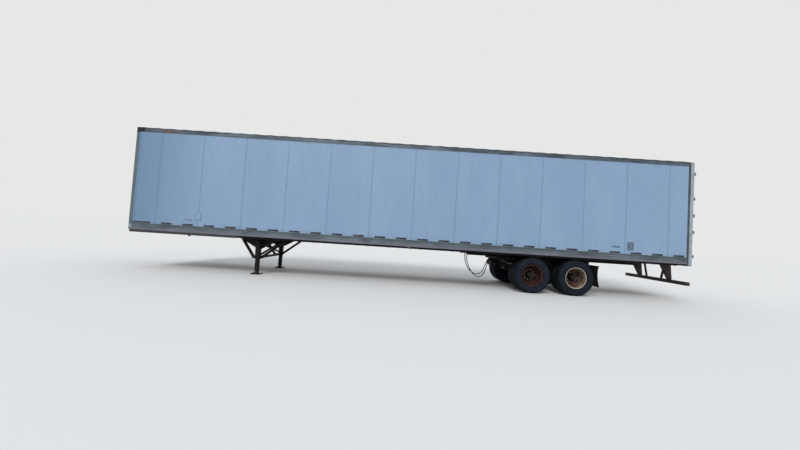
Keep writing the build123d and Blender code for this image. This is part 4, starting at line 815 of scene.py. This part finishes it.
tank_low, tank_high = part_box("air_tank")
tank_x, tank_z, strap_half = (tank_low.x + tank_high.x) / 2, 0.730, 0.020
strap_low, strap_top = tank_z + 0.085, slider_foot + 0.010
bm = bmesh.new()
turned(bm, [
    (0, -0.310), (0.050, -0.306), (0.090, -0.292), (0.112, -0.276), (0.120, -0.262),
    (0.1175, -0.258), (0.1175, 0.258), (0.120, 0.262), (0.112, 0.276), (0.090, 0.292),
    (0.050, 0.306), (0, 0.310),
], (tank_x, 0, tank_z), (0, 1, 0), 48)
for y in (-0.155, 0.155):
    hoop(bm, 0.1175, 0.1198, -strap_half, strap_half, (tank_x, y, tank_z), (0, 1, 0), 48)
    for x0, x1, low in (
        (-0.058, -0.050, strap_low), (0.050, 0.058, strap_low), (-0.058, 0.058, strap_top - 0.008),
    ):
        plate(bm, (tank_x + x0, y - strap_half, low),
              (tank_x + x1, y + strap_half, strap_top), 0.001)
bar(bm, (tank_x, 0.05, tank_z - 0.116), (tank_x, 0.05, tank_z - 0.119), 0.014, 6)
piece("air_reservoir", bm, chassis_paint, "bogie", ["air_tank"])


# Tyres
# Highway tyres of moulded rubber: five ribs between four grooves, cut shoulders, and rings
# on the wall. Two stand side by side at each end of an axle.

def copy_in(bm, mesh, place):
    """Add a copy of a finished shape at a place."""
    old = set(bm.verts)
    bm.from_mesh(mesh)
    bmesh.ops.transform(bm, matrix=place, verts=[v for v in bm.verts if v not in old])


# Vulcanised rubber is black and matt, greyed by dust, with a paler ring on the wall. Its
# blue tint is painted shade from the sky.
tyre_rubber = surface("dusty_tyre_rubber", "#0b0f16", [
    ("#161e29", 120, 0.5, 0.6, 0.14),
    ("#262d34", 30, 0.2, 0.3, 0.12),
    *[("#1d2835", 300, 0.6, 0.5, 0.2, (1, 1, 1), ((x, axle_z), 0.36, 0.44, 0.03))
      for x in axles.values()],
], roughness=0.75, bump=0.2, bump_size=3, shine=0.15)
half_tyre = [
    (0.508, 0.0175), (0.495, 0.0190), (0.495, 0.0270), (0.508, 0.0285), (0.5075, 0.0575),
    (0.4945, 0.0590), (0.4945, 0.0670), (0.5070, 0.0685), (0.5055, 0.0900), (0.5030, 0.1050),
    (0.4975, 0.1140), (0.4880, 0.1205), (0.4780, 0.1245), (0.4720, 0.1285), (0.4690, 0.1285),
    (0.4660, 0.1310), (0.4500, 0.1345), (0.4350, 0.1368), (0.4200, 0.1375), (0.3960, 0.1375),
    (0.3900, 0.1362), (0.3860, 0.1364), (0.3700, 0.1345), (0.3500, 0.1315), (0.3350, 0.1290),
    (0.3300, 0.1262), (0.3240, 0.1262), (0.3120, 0.1200), (0.3040, 0.1135), (0.2884, 0.1060),
]
tyre_steps = 96
bm = bmesh.new()
turned(bm, half_tyre + [(r, -h) for r, h in reversed(half_tyre)], (0, 0, 0), (0, 0, 1),
       tyre_steps)
lugs = []
for face in bm.faces:
    middle = face.calc_center_median()
    turn = int((middle.xy.angle_signed(Vector((1, 0))) + pi) / (2 * pi) * tyre_steps)
    if 0.106 < abs(middle.z) < 0.122 and middle.xy.length > 0.48 and turn % 2:
        lugs.append(face)
bmesh.ops.inset_individual(bm, faces=lugs, thickness=0.002, depth=-0.006)
tyre_shape = shape("tyre_shape", bm)
track, dual = 1.968, 0.343
outer_y, inner_y = track / 2 + dual / 2, track / 2 - dual / 2
ends_and_sides = [(end, x, side, sign) for end, x in axles.items() for side, sign in left_right]
for end, x, side, sign in ends_and_sides:
    bm = bmesh.new()
    for y in (inner_y, outer_y):
        copy_in(bm, tyre_shape, facing((x, sign * y, axle_z), (0, sign, 0)))
    piece(f"tyre_pair_{end}_{side}", bm, tyre_rubber, f"{end}_{side}_wheels",
          [f"tyres_{end}_{side}"], flat=40)


# Wheels
# Pressed steel disc wheels, 22.5 inches, bolted back to back in pairs, so that the outer one
# is dished inwards. Five hand holes pass through the slope of each disc.

def wheel_zones(stains):
    """The same rings of stain about both axles: (colour, size, cover, strength, low, high)."""
    return [
        (*stain, 0.12, (1, 1, 1), ((x, axle_z), low, high, 0.012))
        for *stain, low, high in stains for x in axles.values()
    ]


def circle(count, radius, height=0.0, first=0.0):
    """Points evenly round the Z axis."""
    turns = [2 * pi * (n + first) / count for n in range(count)]
    return [Vector((radius * cos(turn), radius * sin(turn), height)) for turn in turns]


# In front, red-brown paint has gone to dull rust, and the disc is near-black round the hub.
wheel_rust = surface("rusted_wheel_paint", "#24130f", [
    ("#4d261b", 60, 0.42, 0.7, 0.08),
    ("#110d0d", 40, 0.45, 0.8, 0.08),
    *wheel_zones([
        ("#4e2c27", 130, 0.5, 0.8, 0.258, 0.31), ("#0f0c0d", 90, 0.7, 0.85, 0.0, 0.175)]),
], roughness=0.75, bump=0.4, bump_size=4, shine=0.2)
# Behind, cream enamel is left as a bright ring on the rim, and rust has eaten it inwards.
# Round the hub the disc is near-black.
wheel_cream = surface("cream_wheel_paint", "#4f3a28", [
    ("#6a3e1e", 70, 0.42, 0.85, 0.08),
    ("#171110", 50, 0.45, 0.9, 0.08),
    *wheel_zones([
        ("#9d9683", 110, 0.5, 0.85, 0.262, 0.285), ("#bdb7a6", 300, 0.85, 0.95, 0.288, 0.32),
        ("#171110", 90, 0.75, 0.9, 0.0, 0.185)]),
], roughness=0.65, bump=0.3, bump_size=4, shine=0.25)

disc_face, flat_radius, dish_slope, disc_thick = -0.1605, 0.178, 0.81, 0.0105
hand_circle, hand_radius, hand_holes = 0.208, 0.026, 5
disc_rows = [
    0.1105, 0.128, 0.150, 0.168, 0.178, 0.184, 0.191, 0.198, 0.205, 0.212, 0.219, 0.226,
    0.233, 0.241, 0.250, 0.260, 0.270,
]


def dish(radius):
    """How high the disc's face is at a radius: flat at the hub, then sloping to the rim."""
    return disc_face + max(0.0, radius - flat_radius) * dish_slope


bm = bmesh.new()
row = [bm.verts.new((r, 0, dish(r))) for r in disc_rows]
line = [bm.edges.new(pair) for pair in zip(row, row[1:])]
bmesh.ops.spin(bm, geom=row + line, cent=(0, 0, 0), axis=(0, 0, 1), angle=2 * pi, steps=100,
               use_merge=True)
for hole in circle(hand_holes, hand_circle, first=0.5):
    centre = hole.xy
    gone = [f for f in bm.faces
            if (f.calc_center_median().xy - centre).length < hand_radius - 0.004]
    bmesh.ops.delete(bm, geom=gone, context="FACES")
    for vert in bm.verts:
        away = vert.co.xy - centre
        if vert.is_boundary and away.length < 2 * hand_radius:
            vert.co.xy = centre + away.normalized() * hand_radius
            vert.co.z = dish(vert.co.xy.length)
bmesh.ops.recalc_face_normals(bm, faces=bm.faces)
bmesh.ops.solidify(bm, geom=bm.faces[:], thickness=disc_thick)
turned(bm, [
    (0.302, 0.112), (0.299, 0.1145), (0.295, 0.1150), (0.291, 0.1125), (0.284, 0.104),
    (0.2775, 0.088), (0.2765, 0.060), (0.270, 0.040), (0.264, 0.022), (0.263, -0.020),
    (0.266, -0.060), (0.272, -0.090), (0.284, -0.104), (0.291, -0.1125), (0.295, -0.1150),
    (0.299, -0.1145), (0.302, -0.112), (0.302, -0.108), (0.290, -0.104), (0.286, -0.098),
    (0.284, -0.020), (0.284, 0.040), (0.286, 0.098), (0.290, 0.104), (0.302, 0.108),
], (0, 0, 0), (0, 0, 1), 96)
bar(bm, (0.262, 0, 0.030), (0.246, 0, 0.075), 0.005, 10)
wheel_shape = shape("wheel_shape", bm)
wheel_finish = {"front": (wheel_rust, "wheel_rust"), "rear": (wheel_cream, "wheel_white")}
for end, x, side, sign in ends_and_sides:
    bm = bmesh.new()
    for y, out in ((outer_y, sign), (inner_y, -sign)):
        copy_in(bm, wheel_shape, facing((x, sign * y, axle_z), (0, out, 0)))
    paint, slot = wheel_finish[end]
    piece(f"wheel_pair_{end}_{side}", bm, paint, f"{end}_{side}_wheels",
          [f"wheels_{end}_{side}"], flat=40)


# Hubs and drums
# A cast iron hub with an oil cap, ten studs and nuts that hold both wheels, and the ribbed
# brake drum behind its flange.

# Cast iron is rough and brown-black, with a low gloss where oil has mixed with the dust.
hub_iron = surface("oily_cast_hub", "#0b0a0b", [
    ("#1f1918", 30, 0.4, 0.7, 0.08),
    ("#3f2a1c", 18, 0.25, 0.6, 0.06),
], roughness=0.55, metallic=0.1, bump=0.4, bump_size=5, shine=0.3)
# Forged nuts are rusty, with pale patches that are partly steel rubbed bare by the wrench
# and partly painted glints.
stud_steel = surface("rusty_wheel_nuts_with_painted_glints", "#6b645e", [
    ("#a39d95", 10, 0.45, 0.8, 0.08),
    ("#5b3420", 8, 0.35, 0.7, 0.06),
], roughness=0.42, metallic=0.3, bump=0.2, bump_size=3)
drum_ribs = [
    (r, -0.068 - 0.014 * k - d)
    for k in range(6) for r, d in ((0.206, 0), (0.206, 0.006), (0.200, 0.008), (0.200, 0.012))
]
bm = bmesh.new()
turned(bm, [
    (0, 0.150), (0.046, 0.150), (0.054, 0.147), (0.059, 0.140), (0.061, 0.122), (0.078, 0.120),
    (0.080, 0.117), (0.080, 0.108), (0.072, 0.104), (0.074, 0.085), (0.090, 0.055),
    (0.100, 0.030), (0.107, 0.020), (0.107, -0.011), (0.170, -0.011), (0.176, -0.030),
    (0.196, -0.046), (0.206, -0.060), *drum_ribs, (0.206, -0.156), (0.206, -0.222),
    (0.203, -0.230), (0.192, -0.230), (0.192, -0.071), (0.046, -0.071), (0.046, 0.139),
    (0, 0.139),
], (0, 0, 0), (0, 0, 1), 64)
for at in circle(8, 0.0705, 0.120):
    bolt(bm, at, (0, 0, 1), 0.010)
for top, foot in zip(circle(6, 0.070, 0.098), circle(6, 0.104, 0.016)):
    bar(bm, top, foot, 0.010, 8, 0.014)
hub_shape = shape("hub_shape", bm)
bm, up = bmesh.new(), Vector((0, 0, 1))
for foot in circle(10, 0.1429, 0.010):
    turned(bm, [(0, 0), (0.0215, 0), (0.0205, 0.006), (0, 0.006)], foot, up, 20)
    bar(bm, foot + up * 0.005, foot + up * 0.028, 0.019, 6)
    bar(bm, foot + up * 0.028, foot + up * 0.046, 0.011, 12)
nut_shape = shape("nut_shape", bm)
for end, x, side, sign in ends_and_sides:
    for mesh, name, material, stands_for in (
        (hub_shape, "hub_casting", hub_iron, [f"hub_{end}_{side}"]),
        (nut_shape, "wheel_nuts", stud_steel, ()),
    ):
        bm = bmesh.new()
        copy_in(bm, mesh, facing((x, sign * track / 2, axle_z), (0, sign, 0)))
        piece(f"{name}_{end}_{side}", bm, material, f"{end}_{side}_wheels",
              stands_for)


# Mud flaps
# Ribbed rubber sheets bolted to a bar behind the rear wheels, bent by wind and age.

# Moulded rubber is matt black, scuffed grey over its middle, where spray and grit hit it.
flap_rubber = surface("scuffed_flap_rubber", "#0e1012", [
    ("#26282a", 90, 0.5, 0.6, 0.14, (1, 1, 0.4)),
    ("#4b4a47", 200, 0.5, 0.35, 0.14, (1, 1, 0.4), ("Z", 0.25, 0.45, 0.08)),
], roughness=0.78, bump=0.3, bump_size=5, shine=0.2)
flaps_low, flaps_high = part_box("mud_flaps")
flap_x, flap_in, flap_out = axles["rear"] + 0.607, track / 2 - 0.305, track / 2 + 0.305
bm, flap_rows = bmesh.new(), 24
for sign in (-1, 1):
    old = set(bm.verts)
    bmesh.ops.create_grid(bm, x_segments=flap_rows, y_segments=flap_rows, size=0.5)
    for vert in [v for v in bm.verts if v not in old]:
        across, up = vert.co.x + 0.5, vert.co.y + 0.5
        drop = 1 - up
        curl = 0.036 * drop ** 2 - 0.022 * sin(pi * drop)
        ripple = 0.010 * drop * sin(2 * pi * (across * 1.1 + 0.1))
        dents = 0.004 * drop * noise.noise((across * 3, up * 3, sign))
        rib = 0.0012 * (1 if int(across * flap_rows) % 2 else 0)
        vert.co = (flap_x + curl + ripple + dents + rib + 0.001,
                   sign * (flap_in + across * (flap_out - flap_in)),
                   flaps_low.z + up * (flaps_high.z - flaps_low.z))
bmesh.ops.recalc_face_normals(bm, faces=bm.faces)
bmesh.ops.solidify(bm, geom=bm.faces[:], thickness=0.006)
piece("mud_flap_sheets", bm, flap_rubber, "bogie", ["mud_flaps"], flat=50)
bm = bmesh.new()
for sign in (-1, 1):
    plate(bm, (flap_x + 0.008, sign * flap_in, flaps_high.z - 0.045),
          (flap_x + 0.012, sign * flap_out, flaps_high.z), 0.001)
    for k in range(5):
        y = sign * (flap_in + 0.05 + k * 0.1275)
        bolt(bm, (flap_x + 0.012, y, flaps_high.z - 0.022), (1, 0, 0), 0.016)
piece("mud_flap_bolts", bm, worn_steel, "bogie")


# Rear frame
# Galvanised box posts, header and sill welded together round the doors, with the hinge
# butts on them, and a bumper guard of square tube below.

rear_face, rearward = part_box("rear_sill")[1].x - 0.030, (1, 0, 0)
# Galvanised steel weathers to a flat grey with dark runs and specks of rust.
rear_steel = surface("galvanised_rear_frame", "#5c676d", [
    ("#7c868a", 80, 0.45, 0.5, 0.1, (1, 1, 0.4)),
    ("#3b4244", 90, 0.35, 0.6, 0.12, (1, 1, 0.3)),
    ("#6b4a2e", 40, 0.16, 0.7, 0.06, (1, 1, 0.4)),
], roughness=0.46, metallic=0.4, rough_stains=0.25)
# The posts are paler, with painted shade along the edge where they turn in beside the wall.
post_paint = surface("pale_rear_posts_with_painted_shade", "#8d9aa3", [
    ("#a9b4ba", 90, 0.45, 0.5, 0.1, (1, 1, 0.4)),
    ("#5f6a70", 60, 0.3, 0.5, 0.1, (1, 1, 0.3)),
    # Painted shade on the edge that turns in beside the wall.
    ("#262c31", 400, 1.0, 0.9, 0.2, (1, 1, 0.2), ("X", rear_face - 0.3, rear_face - 0.092, 0.004)),
    ("#6b4a2e", 40, 0.16, 0.7, 0.06, (1, 1, 0.4)),
], roughness=0.46, metallic=0.3, rough_stains=0.25)
dress(rear_steel, "rear_header", "rear_sill")
dress(post_paint, "rear_posts")
# What is left of the guard's black paint lets brown rust through nearly everywhere.
guard_paint = surface("rusting_guard_paint", "#16120f", [
    ("#2f241d", 140, 0.5, 0.7, 0.12),
    ("#553320", 50, 0.3, 0.8, 0.06),
], roughness=0.7, bump=0.4, bump_size=4)
dress(guard_paint, "rear_guard")
guard_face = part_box("rear_guard")[1].x
bm = bmesh.new()
for sign in (-1, 1):
    for x in (rear_face - 0.26, rear_face - 0.06):
        for z in (1.020, 0.960):
            bolt(bm, (x, sign * 0.620, z), (0, sign, 0), 0.024)
    for y in (1.19, 0.95, 0.70, 0.30):
        bolt(bm, (guard_face, sign * y, 0.535), rearward, 0.014)
piece("guard_bolts", bm, worn_steel, "trailer")
bm = bmesh.new()
for y in [-1.15 + n * 0.40 for n in range(6)]:
    plate(bm, (guard_face, y, 0.515), (guard_face + tape_thick, y + strip_half, 0.555))
piece("guard_tape", bm, tape_red, "trailer")


# Doors
# Flat plate doors with rubber seals round their edges, hung on strap hinges, each locked by
# two galvanised rods that turn in guides and hook into the frame.

dress(wall_paint_in_shade, "door_left", "door_right")
# Galvanised forgings are a brighter grey than the frame, with rust where parts rub.
door_steel = surface("galvanised_door_hardware", "#83898c", [
    ("#a0a5a7", 26, 0.45, 0.5, 0.06),
    ("#5d4634", 30, 0.2, 0.7, 0.06, (1, 1, 0.5)),
], roughness=0.4, metallic=0.7, rough_stains=0.25)
dress(door_steel, "door_hinges_left", "door_hinges_right")
# Extruded rubber seals frame each door in a soft black line.
seal_rubber = surface("black_door_seal", "#141516", [
    ("#2b2c2d", 60, 0.5, 0.6, 0.1, (1, 1, 0.4)),
], roughness=0.7)
door_low, door_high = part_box("door_right")
rod_low, rod_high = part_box("lock_rods_right")
rod_x, rod_radius, rod_ys, handle_z = rear_face + 0.0215, 0.0133, (0.3545, 1.0045), 1.466
guide_pitch = (door_high.z - door_low.z - 0.300) / 3
guide_zs = [door_low.z + 0.150 + n * guide_pitch for n in range(4)]
hinge_zs, hinge_y, strap_face = (1.330, 2.020, 2.490, 2.980, 3.700), 1.2805, rear_face + 0.008
seal_wide, edge_in = 0.020, 0.036
for side, sign in left_right:
    seals, rivets, rods = bmesh.new(), bmesh.new(), bmesh.new()
    inner, outer = sign * door_low.y, sign * door_high.y
    for y0, y1, z0, z1 in (
        (inner, inner + sign * seal_wide, door_low.z, door_high.z),
        (outer - sign * seal_wide, outer, door_low.z, door_high.z),
        (inner, outer, door_low.z, door_low.z + seal_wide),
        (inner, outer, door_high.z - seal_wide, door_high.z),
    ):
        plate(seals, (rear_face, y0, z0), (rear_face + 0.0025, y1, z1), 0.001)
    for n in range(26):
        z = door_low.z + 0.06 + n * rivet_pitch
        rivet(rivets, (rear_face, inner + sign * edge_in, z), rearward)
        if min(abs(z - hinge_z) for hinge_z in hinge_zs) > 0.035:
            rivet(rivets, (rear_face, outer - sign * edge_in, z), rearward)
    for n in range(11):
        for z in (door_low.z + edge_in, door_high.z - edge_in):
            rivet(rivets, (rear_face, inner + sign * (0.06 + n * 0.107), z), rearward)
    for rod_y in rod_ys:
        y, way = sign * rod_y, sign * (1 if rod_y < 0.6 else -1)
        bar(rods, (rod_x, y, rod_low.z), (rod_x, y, rod_high.z), rod_radius, 20)
        for z in guide_zs:
            slab(rods, (rear_face + 0.002, y, z), (0.004, 0.044, 0.090), 0.001)
            hoop(rods, 0.0136, 0.0165, -0.016, 0.016, (rod_x, y, z), (0, 0, 1))
            plate(rods, (rear_face + 0.002, y - 0.0165, z - 0.016),
                  (rod_x - 0.008, y + 0.0165, z + 0.016))
            for v in (-0.034, 0.034):
                bolt(rods, (rear_face + 0.004, y, z + v), rearward, 0.012)
        for z in (rod_low.z + 0.025, rod_high.z - 0.025):
            slab(rods, (rear_face + 0.0235, y, z), (0.029, 0.034, 0.050), 0.004, 2)
        hoop(rods, 0, 0.0175, -0.024, 0.024, (rod_x, y, handle_z), (0, 0, 1), 20)
        slab(rods, (rod_x, y + way * 0.150, handle_z), (0.008, 0.300, 0.030), 0.003, 2)
        slab(rods, (rear_face + 0.002, y + way * 0.265, handle_z), (0.004, 0.040, 0.070), 0.001)
        plate(rods, (rear_face + 0.002, y + way * 0.252, handle_z + 0.019),
              (rod_x + 0.012, y + way * 0.278, handle_z + 0.025), 0.001)
    for z in hinge_zs:
        for v in (0.120, 0.170, 0.220):
            bolt(rods, (strap_face, sign * (hinge_y - v), z), rearward, 0.013)
    door = f"{side}_door"
    piece(f"door_seal_{side}", seals, seal_rubber, door)
    piece(f"door_rivets_{side}", rivets, rivet_metal, door)
    piece(f"lock_rod_set_{side}", rods, door_steel, door, [f"lock_rods_{side}"])


# Lamps
# Round red tail lamps in rubber grommets in the sill, and small moulded lamps along the
# header and below the rails.

# Moulded acrylic is smooth and glossy, and its mottled red looks deep.
red_lens = surface("red_acrylic_lens", "#7d1216", [
    ("#a32024", 20, 0.5, 0.5, 0.1),
], roughness=0.16, rough_stains=0.1, coat=0.5)
# The amber acrylic is as glossy, and browned by dust and sun.
amber_lens = surface("amber_acrylic_lens", "#5a3a1c", [
    ("#9a6a30", 20, 0.5, 0.5, 0.1),
], roughness=0.16, rough_stains=0.1, coat=0.5)
lamp_z = (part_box("tail_lamps")[0].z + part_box("tail_lamps")[1].z) / 2
lamps_low, lamps_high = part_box("marker_lamps")
lenses, grommets, small, amber = (bmesh.new() for _ in range(4))
for sign in (-1, 1):
    for y in (0.600, 0.730, 0.860):
        at = (rear_face, sign * y, lamp_z)
        turned(lenses, [
            (0, 0), (0.044, 0), (0.045, 0.006), (0.042, 0.0105), (0.036, 0.010), (0.034, 0.012),
            (0.024, 0.0115), (0.022, 0.0135), (0, 0.014),
        ], at, rearward, 40)
        turned(grommets, [
            (0.044, 0), (0.052, 0), (0.052, 0.005), (0.0495, 0.0085), (0.046, 0.0085),
        ], at, rearward, 40)
header_z = lamps_high.z - 0.019
for y in (-0.150, 0, 0.150):
    slab(grommets, (rear_face + 0.002, y, header_z), (0.004, 0.104, 0.038), 0.001)
    slab(small, (rear_face + 0.0065, y, header_z), (0.013, 0.088, 0.026), 0.005, 3)
side_x, lamp_out = nose + 8.040, -lamps_low.y
for sign in (-1, 1):
    slab(amber, (side_x, sign * (lamp_out - 0.009), lamps_low.z + 0.015),
         (0.088, 0.018, 0.030), 0.005, 3)
    slab(grommets, (side_x, sign * (lamp_out - 0.020), lamps_low.z + 0.021),
         (0.100, 0.012, 0.034), 0.002)
piece("tail_lamp_lenses", lenses, red_lens, "trailer", ["tail_lamps"])
piece("header_lamps", small, red_lens, "trailer", ["marker_lamps"])
piece("side_marker_lamps", amber, amber_lens, "trailer")
piece("lamp_grommets", grommets, black_plastic, "trailer")


# Floor and light
# A plain pale floor, a white sky that lights it softly all round, and one broad lamp above.

bm = bmesh.new()
bmesh.ops.create_circle(bm, cap_ends=True, segments=64, radius=300)
floor = bpy.data.objects.new("floor", shape("floor", bm))
# Matt paint keeps the floor free of reflections, so that only soft shadows show on it.
floor_paint = bpy.data.materials.new("pale_floor")
floor_paint.use_nodes = True
floor_shader = floor_paint.node_tree.nodes["Principled BSDF"]
floor_shader.inputs["Base Color"].default_value = linear("#d6d8da")
floor_shader.inputs["Roughness"].default_value = 0.9
floor.data.materials.append(floor_paint)
floor.location.z = -0.001
scene.collection.objects.link(floor)

world = bpy.data.worlds.new("sky")
world.use_nodes = True
world.node_tree.nodes["Background"].inputs["Color"].default_value = (1, 1, 1, 1)
world.node_tree.nodes["Background"].inputs["Strength"].default_value = 0.8
scene.world = world

sun = bpy.data.lights.new("sun", "SUN")
sun.energy, sun.angle = 1.6, radians(25)
lamp = bpy.data.objects.new("sun", sun)
lamp.rotation_euler = Euler((radians(48), 0, radians(-18)))
scene.collection.objects.link(lamp)

scene.view_settings.view_transform = "Standard"
